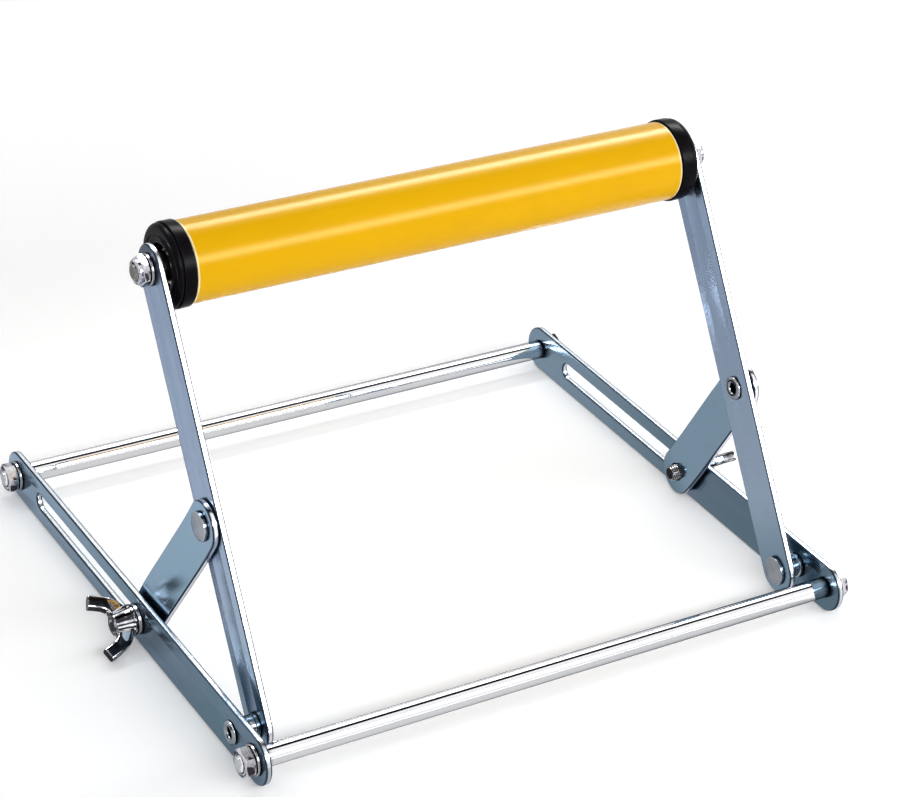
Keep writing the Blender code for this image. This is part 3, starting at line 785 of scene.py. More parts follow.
def bar_zinc(name, tones, edge, rough, fades):
    """Zinc plating on flat bar: cool faces that drift to lilac, painted bright reflections on the narrow
    sides, painted dark reflections on the corners and painted shade in the crevices.
    """
    corner = chosen("painted_corner_reflection")
    return metal(
        name,
        tones,
        drift=(14.0, 0.25),
        grain=((5.0, 0.4, 5.0), 120.0, 0.15, 0.015, 0.00004),
        rough=rough,
        polish=(0.0006, 0.9, corner),
        marks=(40.0, 0.25),
        crevice=(0.0020, 0.95),
        rim=(0.75, 0.78, 0.85),
        fades=fades,
        bar_edge=(edge, corner),
    )


def rail_zinc():
    """Zinc of the side rails, painted darker than the arms' for the shaded floor that they mirror, and
    deeper still at the front.
    """
    tones = (chosen("rail"), chosen("rail_lilac"))
    fades = ((chosen("rail_back"), (0, 1, 0), -0.06, 0.14),)
    return bar_zinc("Rail zinc plating", tones, chosen("rail_edge"), (0.20, 0.24), fades)


def arm_zinc():
    """Zinc of the arms, painted darker towards the axle and at the pivot for shade, and painted dark round
    the lock nuts for the nuts' shade and reflection.
    """
    tones = (chosen("arm"), chosen("arm_lilac"))
    fades = (
        (chosen("arm_top"), (0, 1, 0), 0.0, 0.20),
        (chosen("arm_foot"), (0, -1, 0), -0.040, -0.002),
        (chosen("arm_head"), (0, 1, 0), ARM_LENGTH - 0.009, ARM_LENGTH - 0.002),
    )
    return bar_zinc("Arm zinc plating", tones, chosen("bar_edge"), (0.25, 0.28), fades)


def link_zinc():
    """Zinc of the brace links, painted darker at their feet for the dark rail that they mirror there."""
    tones = (chosen("link"), chosen("link_lilac"))
    fades = ((chosen("rail"), (0, 1, 0), 0.082, 0.112),)
    return bar_zinc("Link zinc plating", tones, chosen("bar_edge"), (0.15, 0.18), fades)


def bright_zinc():
    """Bright zinc of the nuts, with painted dark reflections that change from facet to facet, painted
    highlights on the edges and painted shade in the crevices.
    """
    tone = chosen("bright_zinc")
    return metal(
        "Bright zinc plating",
        (tone, scaled(tone, 0.62, 0.60, 0.66)),
        drift=(160.0, 0.12),
        grain=((1.0, 1.0, 1.0), 420.0, 0.5, 0.35, 0.00006),
        rough=(0.06, 0.16),
        polish=(0.0005, 1.0, (0.98, 0.98, 0.98)),
        marks=(150.0, 0.7),
        crevice=(0.0022, 1.0),
        rim=(0.45, 0.45, 0.50),
        plating=((0.05, 0.045, 0.06), 2.2, 150.0, 0.59, 0.02),
    )


def washer_zinc():
    """Zinc of the washers and spacers, rougher than the nuts' and painted darker for the shade under the
    nuts.
    """
    tone = scaled(chosen("bright_zinc"), 0.42, 0.42, 0.42)
    return metal(
        "Dull zinc plating",
        (tone, scaled(tone, 0.7, 0.7, 0.76)),
        drift=(160.0, 0.2),
        grain=((1.0, 1.0, 1.0), 420.0, 0.5, 0.35, 0.00006),
        rough=(0.12, 0.24),
        polish=(0.0003, 0.6, (0.8, 0.8, 0.82)),
        marks=(150.0, 0.7),
        crevice=(0.0030, 1.0),
        rim=(0.35, 0.35, 0.40),
    )


def rivet_zinc():
    """Grey zinc of the rivets and the pivot bushes, with painted dark reflection streaks, painted
    highlights on the edges and strong painted shade round the heads and in the hollow tails.
    """
    tone = chosen("rivet_zinc")
    return metal(
        "Rivet zinc plating",
        (tone, scaled(tone, 1.5, 1.42, 1.4)),
        drift=(120.0, 0.2),
        grain=((1.0, 1.0, 1.0), 300.0, 0.5, 0.45, 0.00008),
        rough=(0.08, 0.20),
        polish=(0.0006, 0.8, (0.85, 0.86, 0.88)),
        marks=(150.0, 0.6),
        crevice=(0.0055, 2.2),
        rim=(0.5, 0.52, 0.58),
        plating=((0.03, 0.04, 0.05), 1.2, 60.0, 0.66, 0.04),
    )


def polished_chrome():
    """Chrome of the cross rods, with a wide painted shade where they meet the rails and faint painted
    highlights on the edges.
    """
    tone = chosen("chrome")
    return metal(
        "Polished chrome",
        (tone, scaled(tone, 0.93, 0.94, 0.97)),
        drift=(30.0, 0.25),
        grain=((0.15, 5.0, 5.0), 240.0, 0.2, 0.05, 0.00003),
        rough=(0.02, 0.05),
        polish=(0.0003, 0.3, (0.95, 0.95, 0.96)),
        marks=(80.0, 0.25),
        crevice=(0.0070, 2.2),
        rim=(0.16, 0.17, 0.20),
    )


def cast_chrome():
    """Chrome of the cast wing bolts, painted near black for the dark surroundings it mirrors, with painted
    bright reflection streaks and painted highlights on its edges.
    """
    tone = chosen("cast_chrome")
    return metal(
        "Cast chrome",
        (tone, scaled(tone, 0.5, 0.5, 0.5)),
        drift=(260.0, 0.10),
        grain=((1.0, 1.0, 1.0), 260.0, 0.2, 0.5, 0.00025),
        rough=(0.05, 0.10),
        polish=(0.0006, 0.8, (0.98, 0.98, 0.99)),
        marks=(150.0, 0.4),
        crevice=(0.0025, 1.0),
        rim=(0.5, 0.5, 0.52),
        plating=((0.92, 0.92, 0.94), 3.0, 95.0, 0.585, 0.02),
    )


def bearing_steel():
    """Ground steel of the axle, the spacers and the bearings, its tone painted dark to keep the bearing
    pockets in the caps in shade.
    """
    tone = chosen("steel")
    return metal(
        "Ground bearing steel",
        (tone, scaled(tone, 0.8, 0.76, 0.70)),
        drift=(70.0, 0.25),
        grain=((8.0, 0.6, 0.6), 300.0, 0.3, 0.2, 0.00005),
        rough=(0.14, 0.30),
        polish=(0.0003, 0.8, (0.85, 0.85, 0.85)),
        marks=(120.0, 0.7),
        crevice=(0.0020, 1.0),
        rim=(0.5, 0.5, 0.5),
    )


def coated(name, tones, drift, rim, marks, rough, peel, gloss, cut=None):
    """Enamel or plastic.

    tones: first and second tone. drift: scale and spread of their mix. rim: width, strength and
    tone of the painted highlight on the edges. marks: scale and amount of handling marks. rough:
    least and greatest roughness. peel: scale and strength of the fine bump. gloss: level and tint
    of the mirrored light. cut: where the painted highlight at both ends of the piece starts and is full.
    """
    made = bpy.data.materials.get(name)
    if made:
        return made
    material, tree, shader = started_material(name, tones[0])
    set_inputs(shader, {"Specular IOR Level": gloss[0], "Specular Tint": (*gloss[1], 1)})
    colour = drifted(tree, tones, drift)
    worn = effect(tree, edge_reflection_mask(), {"Width": rim[0], "Strength": rim[1]})
    colour = blend(tree, colour, rim[2], worn["Mask"])
    if cut:
        ends = effect(tree, both_ends(), {"Start": cut[0], "End": cut[1]})
        colour = blend(tree, colour, rim[2], ends["Mask"])
    handled = effect(tree, handling_marks(), {"Scale": marks[0], "Amount": marks[1]})
    colour = blend(tree, colour, COATING_SMUDGE, handled["Mask"], "MULTIPLY")
    tree.links.new(colour, shader.inputs["Base Color"])
    nodes = add_nodes(
        tree,
        {"shader": shader},
        {
            "roughness": ("MapRange", {"To Min": rough[0], "To Max": rough[1]}),
            "place": ("TexCoord", {}),
            "noise": ("TexNoise", {"Scale": peel[0], "Detail": 2.0}),
            "bump": ("Bump", {"Strength": peel[1], "Distance": PEEL_DEPTH}),
        },
        (
            "roughness.Result > shader.Roughness, place.Object > noise.Vector, noise.Fac > bump.Height",
            "bump.Normal > shader.Normal",
        ),
    )
    tree.links.new(handled["Mask"], nodes["roughness"].inputs["Value"])
    return material


def yellow_enamel():
    """Glossy yellow enamel of the roller tube, with a painted pale highlight along its edges and round the
    lip at the tube's ends.
    """
    colour = chosen("enamel")
    end = span("roller_tube").x / 2
    return coated(
        "Yellow enamel",
        (colour, scaled(colour, 0.96, 0.93, 1.0)),
        drift=(14.0, 0.25),
        rim=(0.0006, 0.6, (1.0, 0.86, 0.50)),
        marks=(35.0, 0.3),
        rough=(0.23, 0.28),
        peel=(420.0, 0.04),
        gloss=(0.13, (1.0, 0.92, 0.60)),
        cut=(end - 0.0011, end - 0.0008),
    )


def black_plastic():
    """Moulded black plastic of the end caps, with a fine grain and a faint painted highlight on its edges.
    """
    colour = chosen("plastic")
    return coated(
        "Moulded black plastic",
        (colour, scaled(colour, 2.4, 2.0, 2.6)),
        drift=(120.0, 0.5),
        rim=(0.0005, 0.6, (0.06, 0.05, 0.065)),
        marks=(90.0, 0.8),
        rough=(0.26, 0.42),
        peel=(1600.0, 0.18),
        gloss=(0.03, (1.0, 1.0, 1.0)),
    )


def place_piece(name, mesh, finish, body, node_name, place=None, turn=0.0, side=1):
    """Put a piece in the scene instead of a frame node, at the node's middle if no place is given.

    Side -1 turns its outer end to the left.
    """
    if node_name not in frame["nodes"]:
        raise RuntimeError(f"the frame has no node {node_name}")
    piece = in_scene(name, mesh)
    if not mesh.materials:
        mesh.materials.append(finish)
    piece.location = middle(node_name) if place is None else place
    piece.rotation_euler = (side * turn, 0, 0 if side > 0 else math.pi)
    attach(piece, body)
    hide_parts(node_name)
    return piece


def place_pairs(slot, *rows):
    """Put the pieces of the rows (mesh, finish, turns, name, body, node name) on both sides.

    The left ones come first. A star in a name stands for left or right.
    """
    for number, (side_name, side) in enumerate(SIDES):
        for mesh, finish, turns, *names in rows:
            name, body, node_name = [text.replace("*", side_name) for text in names]
            place_piece(name, mesh, finish, body, node_name, None, turns[number], side)


def middle(node_name):
    """The middle of a frame node's box."""
    low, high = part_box(node_name)
    return (low + high) / 2


def span(node_name):
    """The size of a frame node's box."""
    low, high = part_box(node_name)
    return high - low


class STAND_OT_rails(bpy.types.Operator):
    """Build the two slotted side rails."""

    bl_idname = "stand.add_rails"
    bl_label = "Side rails"

    def execute(self, context):
        size = span("left_side_rail")
        outlines = [
            round_ended(-ROD_REACH, ROD_REACH, size.z / 2),
            circle((-ROD_REACH, 0), THREAD_HOLE_RADIUS),
            circle((ROD_REACH, 0), THREAD_HOLE_RADIUS),
            circle((PIVOT.y, 0), RIVET_HOLE_RADIUS),
            round_ended(CLAMP.y, SLOT_BACK_Y, THREAD_HOLE_RADIUS),
        ]
        mesh = flat_bar("rail", outlines, size.x, context.scene.stand_sizes.edge_round)
        for side_name, _ in SIDES:
            node_name = side_name + "_side_rail"
            place_piece("rail_" + side_name, mesh, rail_zinc(), "base", node_name)
        return {"FINISHED"}


class STAND_OT_rods(bpy.types.Operator):
    """Build the two cross rods with their threaded ends."""

    bl_idname = "stand.add_rods"
    bl_label = "Cross rods"

    def execute(self, context):
        size = span("front_cross_rod")
        radius = size.z / 2
        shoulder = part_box("right_side_rail")[0].x - SEAT_GAP
        edge = 0.0005
        corner_share = 0.3
        corner = edge * corner_share
        half = [
            (shoulder - edge, radius),
            (shoulder - corner, radius - corner),
            (shoulder, radius - edge),
            (shoulder, 0),
        ]
        core = turned("rod", mirrored(half))
        mesh = threaded_ends("rod", core, shoulder, size.x / 2, context.scene.stand_sizes)
        for end_name in ("front", "rear"):
            node_name = end_name + "_cross_rod"
            place_piece("rod_" + end_name, mesh, polished_chrome(), "base", node_name)
        return {"FINISHED"}


def nut_mesh(name, flats, height, crown_height):
    """A hexagon nut along X with chamfered corners, and a round crown on its outer end if it has one."""
    chamfer_angle = math.radians(30)
    slope = math.tan(chamfer_angle)
    face_share = 0.95
    countersink = 0.0006
    crown_inset = 0.0002
    crown_round = 0.001
    corner_radius = flats / math.sqrt(3)
    face_radius = flats / 2 * face_share
    hex_height = height - crown_height
    half = hex_height / 2
    end = height / 2
    outer = corner_radius + OVERRUN
    blank = flat_bar(name, [circle((0, 0), corner_radius, 6)], hex_height, 0.0)
    past_end = half + OVERRUN * slope
    right = [
        (half - (outer - face_radius) * slope, outer),
        (past_end, face_radius - OVERRUN),
        (past_end, 0),
    ]
    chamfer = turned(name + "_chamfer", mirrored(right), NUT_SIDES)
    nut = combined(name, blank, chamfer, "INTERSECT")
    nut.transform(Matrix.Translation((half - end, 0, 0)))
    if crown_height:
        start = hex_height - end - countersink
        crown = face_radius - crown_inset
        profile = [(start, 0), (start, crown)]
        profile += arc((end - crown_round, crown - crown_round), crown_round, 90, 20, 8)
        profile += [(end, THREAD_HOLE_RADIUS + countersink), (end, 0)]
        nut = combined(name, nut, turned(name + "_crown", profile, NUT_SIDES), "UNION")
    outer_countersink = countersink / 2
    bore = [
        (-end - OVERRUN, 0),
        (-end - OVERRUN, THREAD_HOLE_RADIUS + countersink + OVERRUN),
        (-end + countersink, THREAD_HOLE_RADIUS),
        (end - outer_countersink, THREAD_HOLE_RADIUS),
        (end + OVERRUN, THREAD_HOLE_RADIUS + outer_countersink + OVERRUN),
        (end + OVERRUN, 0),
    ]
    return combined(name, nut, turned(name + "_bore", bore), "DIFFERENCE")


def washer_mesh(name, node_name, bore=THREAD_HOLE_RADIUS, edge=0.0003):
    """A pressed washer or spacer along X with the size of a frame node, rounded at its outer edge."""
    size = span(node_name)
    half = size.x / 2
    radius = size.z / 2
    mouth, burr, flat_end = edge * 0.5, edge * 0.3, edge * 1.6
    profile = [
        (-half, bore + edge),
        (mouth - half, bore),
        (half - mouth, bore),
        (half, bore + edge),
        (half, radius - flat_end),
    ]
    profile += arc((half - edge, radius - edge), edge, 70, 0, 4)
    profile += [(edge - half, radius), (burr - half, radius - burr), (-half, radius - edge)]
    return turned(name, without_repeats(profile))


def without_repeats(profile):
    """The same profile without points that repeat the one before."""
    kept = []
    for point in profile:
        if not kept or (Vector(point) - Vector(kept[-1])).length > MERGE_DISTANCE:
            kept.append(point)
    return kept


class STAND_OT_fasteners(bpy.types.Operator):
    """Build the nuts and washers on the rods and on the axle, and the clamp's washers and spacers."""

    bl_idname = "stand.add_fasteners"
    bl_label = "Nuts and washers"

    def execute(self, context):
        size = span("front_left_nut")
        flats = min(size.y, size.z)
        nut = nut_mesh("rod_nut", flats, size.x, 0.0)
        lock_nut = nut_mesh("lock_nut", flats, size.x, LOCK_NUT_CROWN)
        washer = washer_mesh("rod_washer", "front_left_washer")
        clamp_washer = washer_mesh("clamp_washer", "left_clamp_washer")
        spacer = washer_mesh("clamp_spacer", "left_clamp_spacer", edge=0.0002)
        bright = bright_zinc()
        rough_shaded_zinc = washer_zinc()
        slot = "bright_zinc"
        place_pairs(
            slot,
            (nut, bright, FRONT_NUT_TURNS, "nut_front_*", "base", "front_*_nut"),
            (washer, rough_shaded_zinc, UNTURNED, "washer_front_*", "base", "front_*_washer"),
            (nut, bright, REAR_NUT_TURNS, "nut_rear_*", "base", "rear_*_nut"),
            (washer, rough_shaded_zinc, UNTURNED, "washer_rear_*", "base", "rear_*_washer"),
            (lock_nut, bright, LOCK_NUT_TURNS, "lock_nut_*", "arm_frame", "*_axle_nut"),
            (washer, rough_shaded_zinc, UNTURNED, "axle_washer_*", "arm_frame", "*_axle_washer"),
        )
        place_pairs(
            slot,
            (clamp_washer, rough_shaded_zinc, UNTURNED, "clamp_washer_of_*", "*_link", "*_clamp_washer"),
            (spacer, rough_shaded_zinc, UNTURNED, "clamp_spacer_of_*", "*_link", "*_clamp_spacer"),
        )
        return {"FINISHED"}


def rivet_mesh(name, grip):
    """A semi-tubular rivet along X: a low dome below the origin and a rolled tail past the grip."""
    head = 0.007
    rim = 0.0013
    rim_round = 0.0002
    shank = THREAD_RADIUS
    hollow = 0.0025
    hollow_depth = 0.005
    tail = 0.00575
    tail_inset = 0.0003
    dome_flatness, tail_flatness = 1.2, 0.8
    rim_share, mouth_share = 0.8, 0.2
    crown_steps = 14
    tail_steps = 13
    profile = []
    for step in range(crown_steps):
        angle = math.pi / 2 * step / crown_steps
        rise = (RIVET_HEAD - rim) * math.cos(angle) ** dome_flatness
        profile.append((-rim - rise, head * math.sin(angle)))
    profile += [(-rim * rim_share, head), (-rim_round / 2, head), (0, head - rim_round), (0, shank)]
    profile += [(grip, shank), (grip, tail - tail_inset)]
    for step in range(1, tail_steps):
        angle = math.pi * step / tail_steps
        along = grip + RIVET_TAIL * math.sin(angle) ** tail_flatness
        profile.append((along, (tail + hollow) / 2 + (tail - hollow) / 2 * math.cos(angle)))
    floor = grip + RIVET_TAIL - hollow_depth
    profile += [(grip + RIVET_TAIL * mouth_share, hollow), (floor, hollow), (floor - hollow / 2, 0)]
    return turned(name, profile)


def bush_mesh():
    """The bush at an arm's pivot: a sleeve with a flange at each end."""
    size = span("left_pivot_bush")
    half, outer = size.x / 2, size.z / 2
    flange = 0.0016
    neck_depth = 0.0006
    neck_slope = 0.0003
    ease = 0.0002
    right = [
        (half - flange - neck_slope, outer - neck_depth),
        (half - flange, outer - ease),
        (half - flange + ease, outer),
        (half - ease, outer),
        (half, outer - ease),
        (half, RIVET_HOLE_RADIUS),
    ]
    return turned("pivot_bush", mirrored(right))


class STAND_OT_rivets(bpy.types.Operator):
    """Build the rivets of the arms and links, and the flanged bushes at the arms' pivots."""

    bl_idname = "stand.add_rivets"
    bl_label = "Rivets and bushes"

    def execute(self, context):
        zinc = rivet_zinc()
        for kind, body in (("pivot", "base"), ("link", "arm_frame")):
            grip = span("right_" + kind + "_rivet").x - RIVET_HEAD - RIVET_TAIL
            mesh = rivet_mesh(kind + "_rivet", grip)
            for side_name, side in SIDES:
                node_name = side_name + "_" + kind + "_rivet"
                low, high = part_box(node_name)
                place = (low + high) / 2
                facing = side if kind == "pivot" else -side
                place.x = low.x + RIVET_HEAD if facing > 0 else high.x - RIVET_HEAD
                name = kind + "_rivet_of_" + side_name
                place_piece(name, mesh, zinc, body, node_name, place, 0, facing)
        bush = (bush_mesh(), zinc, UNTURNED, "pivot_bush_of_*", "base", "*_pivot_bush")
        place_pairs("blue_zinc", bush)
        return {"FINISHED"}


class STAND_OT_arms(bpy.types.Operator):
    """Build the two arms."""

    bl_idname = "stand.add_arms"
    bl_label = "Arms"

    def execute(self, context):
        outlines = [
            round_ended(0, ARM_LENGTH, ARM_HALF_WIDTH),
            circle((0, 0), RIVET_HOLE_RADIUS),
            circle((LINK_REACH, 0), RIVET_HOLE_RADIUS),
            circle((ARM_LENGTH, 0), THREAD_HOLE_RADIUS),
        ]
        mesh = flat_bar("arm", outlines, span("left_arm").x, context.scene.stand_sizes.edge_round)
        for side_name, _ in SIDES:
            node_name = side_name + "_arm"
            place = Vector((middle(node_name).x, PIVOT.y, PIVOT.z))
            name = "arm_" + side_name
            place_piece(name, mesh, arm_zinc(), "arm_frame", node_name, place, RAISED_ANGLE)
        return {"FINISHED"}


def cranked(mesh, start, end, offset):
    """Bend a bar along Y so that it steps sideways along X by the offset between start and end."""
    ease = (end - start) / 6
    steps = 6
    shape = bmesh.new()
    shape.from_mesh(mesh)
    for centre in (start, end):
        for step in range(steps + 1):
            bmesh.ops.bisect_plane(
                shape,
                geom=shape.verts[:] + shape.edges[:] + shape.faces[:],
                dist=MERGE_DISTANCE,
                plane_co=(0, centre - ease + ease * 2 * step / steps, 0),
                plane_no=(0, 1, 0),
            )
    for vert in shape.verts:
        vert.co.x += offset * eased_step(vert.co.y, start, end, ease)
    shape.to_mesh(mesh)
    shape.free()
    return cleaned(mesh)


def eased_step(along, start, end, ease):
    """A straight slope from 0 at start to 1 at end, rounded into the level parts at both ends."""
    slope = 1 / (end - start)
    if along <= start - ease:
        return 0.0
    if along < start + ease:
        return slope * (along - start + ease) ** 2 / (4 * ease)
    if along <= end - ease:
        return slope * (along - start)
    if along < end + ease:
        return 1 - slope * (end + ease - along) ** 2 / (4 * ease)
    return 1.0


class STAND_OT_links(bpy.types.Operator):
    """Build the two brace links, each cranked from its arm out to its rail."""

    bl_idname = "stand.add_links"
    bl_label = "Brace links"

    def execute(self, context):
        outlines = [
            round_ended(0, LINK_LENGTH, LINK_HALF_WIDTH),
            circle((0, 0), RIVET_HOLE_RADIUS),
            circle((LINK_LENGTH, 0), THREAD_HOLE_RADIUS),
        ]
        thickness = span("left_arm").x
        head_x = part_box("right_arm")[1].x + SEAT_GAP + thickness / 2
        foot_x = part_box("right_clamp_spacer")[0].x - SEAT_GAP - thickness / 2
        for side_name, side in SIDES:
            mesh = flat_bar("link", outlines, thickness, context.scene.stand_sizes.edge_round)
            cranked(mesh, LINK_LEVEL_END, LINK_LENGTH - LINK_LEVEL_END, side * (foot_x - head_x))
            name = "brace_link_" + side_name
            body = side_name + "_link"
            node_name = side_name + "_brace_link"
            place = Vector((side * head_x, LINK_PIN.y, LINK_PIN.z))
            place_piece(name, mesh, link_zinc(), body, node_name, place, -RAISED_ANGLE)
        return {"FINISHED"}


def tube_mesh(lip):
    """The roller's tube along X, with a rounded lip at each end."""
    end = span("roller_tube").x / 2
    bore = TUBE_RADIUS - TUBE_WALL
    ease = 0.0002
    right = [(end - lip, TUBE_RADIUS)]
    right += arc((end - lip, TUBE_RADIUS - lip), lip, 75, 15, 4)
    right += [(end, TUBE_RADIUS - lip), (end, bore + ease), (end - ease, bore)]
    return turned("tube", mirrored(right), TUBE_SIDES)


def end_cap_mesh():
    """A roller end cap with its rim's inner face at the origin and its face outwards along X."""
    spigot, spigot_length, spigot_ease = 0.0170, 0.014, 0.001
    rim, rim_width, rim_round, rim_step, step_width = 0.0199, 0.006, 0.0005, 0.0013, 0.0006
    pocket, pocket_ease, bore, bore_depth = 0.0133, 0.0004, 0.0108, 0.003
    face, face_round, face_ease = 0.0195, 0.0021, 0.0003
    groove_outer, groove_inner, groove_depth = 0.0155, 0.0135, 0.0005
    mouth_ease, mouth_round = 0.0006, 0.0001
    pocket_x = CAP_REACH - bore_depth
    step_x = rim_width + step_width
    profile = [
        (pocket_x, bore),
        (pocket_x, pocket),
        (pocket_ease - spigot_length, pocket),
        (-spigot_length, pocket + pocket_ease),
        (-spigot_length, spigot - spigot_ease),
        (spigot_ease - spigot_length, spigot),
        (0, spigot),
        (0, rim - pocket_ease),
    ]
    profile += arc((rim_round, rim - rim_round), rim_round, 165, 90, 4)
    profile += arc((rim_width - rim_round, rim - rim_round), rim_round, 90, 0, 4)
    profile += [(rim_width, rim - rim_step), (step_x, rim - rim_step), (step_x, face - face_ease)]
    profile += arc((CAP_REACH - face_round, face - face_round), face_round, 84, 0, 8)
    profile += [
        (CAP_REACH, groove_outer),
        (CAP_REACH - groove_depth, groove_outer - groove_depth),
        (CAP_REACH - groove_depth, groove_inner + groove_depth),
        (CAP_REACH, groove_inner),
        (CAP_REACH, bore + mouth_ease),
        (CAP_REACH - face_ease, bore + mouth_round),
    ]
    return turned("end_cap", profile, TUBE_SIDES)


def axle_mesh(sizes):
    """The roller's axle along X: a thick middle, a seat for each bearing and threaded ends."""
    middle_radius, seat_radius, shoulder_ease, seat_ease = 0.006, 0.005, 0.0005, 0.0003
    cage_gap = 0.0017
    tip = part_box("roller_axle")[1].x
    seat_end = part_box("right_arm")[0].x - SEAT_GAP
    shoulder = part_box("right_ball_cage")[0].x - cage_gap
    half = [
        (shoulder - shoulder_ease, middle_radius),
        (shoulder, middle_radius - shoulder_ease),
        (shoulder, seat_radius),
        (seat_end - seat_ease, seat_radius),
        (seat_end, seat_radius - seat_ease),
        (seat_end, 0),
    ]
    return threaded_ends("axle", turned("axle", mirrored(half)), seat_end, tip, sizes)


class STAND_OT_roller(bpy.types.Operator):
    """Build the roller tube with its end caps, and the axle with its spacers."""

    bl_idname = "stand.add_roller"
    bl_label = "Roller and axle"

    def execute(self, context):
        sizes = context.scene.stand_sizes
        tube = tube_mesh(sizes.tube_lip)
        finish = yellow_enamel()
        place_piece("roller_sleeve", tube, finish, "roller", "roller_tube", ROLLER)
        cap = end_cap_mesh()
        for side_name, side in SIDES:
            node_name = side_name + "_end_cap"
            low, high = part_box(node_name)
            outer = high.x if side > 0 else low.x
            place = Vector((outer - side * CAP_REACH, ROLLER.y, ROLLER.z))
            name = "end_cap_of_" + side_name
            place_piece(name, cap, black_plastic(), "roller", node_name, place, 0, side)
        steel = bearing_steel()
        slot = "bearing_steel"
        place_piece("axle", axle_mesh(sizes), steel, "arm_frame", "roller_axle", ROLLER)
        spacer = washer_mesh("axle_spacer", "left_axle_spacer", AXLE_HOLE_RADIUS)
        names = ("axle_spacer_of_*", "arm_frame", "*_axle_spacer")
        place_pairs(slot, (spacer, steel, UNTURNED, *names))
        return {"FINISHED"}


def smooth_path(points, steps):
    """Points on a curve through the given ones, both ends included."""
    dense = []
    last = len(points) - 1
    for step in range(steps + 1):
        travelled = step / steps * last
        first = min(int(travelled), last - 1)
        f = travelled - first
        near = [points[min(max(first + offset, 0), last)] for offset in (-1, 0, 1, 2)]
        place = [
            b + ((c - a) * f + (2 * a - 5 * b + 4 * c - d) * f**2 + (3 * b - a - 3 * c + d) * f**3) / 2
            for a, b, c, d in zip(*near)
        ]
        dense.append(Vector(place))
    return dense


def wing_blank(name, sign, width, thickness):
    """One wing of a wing bolt: a flat-ended bar of rounded square section, swept outwards from the hub."""
    path = [(0.0015, 0.0052), (0.0055, 0.0058), (0.0088, 0.0076)]
    path += [(0.0110, 0.0105), (0.0126, 0.0140), (0.0139, 0.0175)]
    steps = 28
    sides = 32
    squareness = 0.42
    root_widening, root_thickening, taper_rate = 0.35, 0.25, 1.6
    dense = smooth_path(path, steps)
    rings = []
    for number, point in enumerate(dense):
        along = (dense[min(number + 1, steps)] - dense[max(number - 1, 0)]).normalized()
        across = Vector((-along.y, along.x))
        taper = 1 - min(1.0, number / steps * taper_rate)
        half_width = width / 2 * (1 + root_widening * taper)
        half_thick = thickness / 2 * (1 + root_thickening * taper)
        ring = []
        for side in range(sides):
            angle = math.tau * side / sides
            c, s = math.cos(angle), math.sin(angle)
            out = point + across * (half_width * math.copysign(abs(c) ** squareness, c))
            ring.append((out.y, sign * out.x, half_thick * math.copysign(abs(s) ** squareness, s)))
        rings.append(ring)
    return lofted(name, rings)


def hub_mesh():
    """The hub of a wing bolt along X: a flanged cone with a dished end."""
    flange, neck = 0.0076, 0.0072
    end, end_round, end_radius = 0.0102, 0.0008, 0.0048
    flange_ease, flange_end, neck_start = 0.0004, 0.0014, 0.0022
    dish_depth = 0.0003
    dish = ((0.0, 0.0041), (dish_depth, 0.0039), (dish_depth, 0.0036), (0.0, 0.0033))
    profile = [(0.0, 0), (0.0, neck), (flange_ease, flange), (flange_end, flange), (neck_start, neck)]
    profile += arc((end - end_round, end_radius), end_round, 80, 0, 6)
    profile += [(end - depth, radius) for depth, radius in dish] + [(end, 0)]
    return turned("hub", profile)


class STAND_OT_wing_bolts(bpy.types.Operator):
    """Build the two wing bolts: a cast hub with two wings and a threaded shank."""

    bl_idname = "stand.add_wing_bolts"
    bl_label = "Wing bolts"

    def execute(self, context):
        sizes = context.scene.stand_sizes
        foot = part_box("right_clamp_washer")[1].x + SEAT_GAP
        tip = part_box("right_wing_bolt")[0].x
        body = hub_mesh()
        for sign in (-1, 1):
            wing = wing_blank("wing", sign, sizes.wing_width, sizes.wing_thickness)
            body = combined("hub", body, wing, "UNION")
        rounding = ("SMOOTH", {"factor": 0.5, "iterations": 5})
        body = shaped("hub", body, ("REMESH", {"mode": "VOXEL", "voxel_size": VOXEL}), rounding)
        shank = screw_thread("shank", 0, foot - tip + OVERRUN, sizes)
        shank.transform(Matrix.Translation((OVERRUN, 0, 0)) @ Matrix.Rotation(math.pi, 4, "Z"))
        mesh = combined("wing_bolt", body, shank, "UNION")
        for (side_name, side), turn in zip(SIDES, WING_TURNS):
            name = "thumb_screw_" + side_name
            node = side_name + "_wing_bolt"
            place = Vector((side * foot, CLAMP.y, CLAMP.z))
            place_piece(name, mesh, cast_chrome(), node, node, place, turn, side)
        return {"FINISHED"}


class STAND_OT_bearings(bpy.types.Operator):
    """Give the bearings inside the roller their ground steel finish."""

    bl_idname = "stand.finish_bearings"
    bl_label = "Bearings"

    def execute(self, context):
        for side_name, _ in SIDES:
            for part in ("_bearing_outer_ring", "_bearing_inner_ring", "_ball_cage"):
                found = frame["nodes"].get(side_name + part)
                if found is None:
                    raise RuntimeError(f"the frame has no node {side_name + part}")
                found.data.materials.clear()
                found.data.materials.append(bearing_steel())
        return {"FINISHED"}


def facing_stand(place):
    """Turn that points the underside of a lamp or card at the stand and keeps it level along X."""
    return (math.atan2(-place[1], place[2] - AIM_HEIGHT), 0, 0)


def soft_light(name, place, size, energy):
    """A soft light that points at the stand and isn't seen itself."""
    lamp = bpy.data.lights.new(name, "AREA")
    lamp.shape = "RECTANGLE"
    lamp.size, lamp.size_y = size
    lamp.energy = energy
    holder = in_scene(name, lamp)
    holder.location = place
    holder.rotation_euler = facing_stand(place)
    holder.visible_camera = False


def flat_sheet(name, place, half_size, parts):
    """A level square sheet of parts by parts faces, for the studio's floor and cards."""
    shape = bmesh.new()
    bmesh.ops.create_grid(shape, x_segments=parts, y_segments=parts, size=half_size)
    sheet = in_scene(name, mesh_from(name, shape))
    sheet.location = place
    return sheet


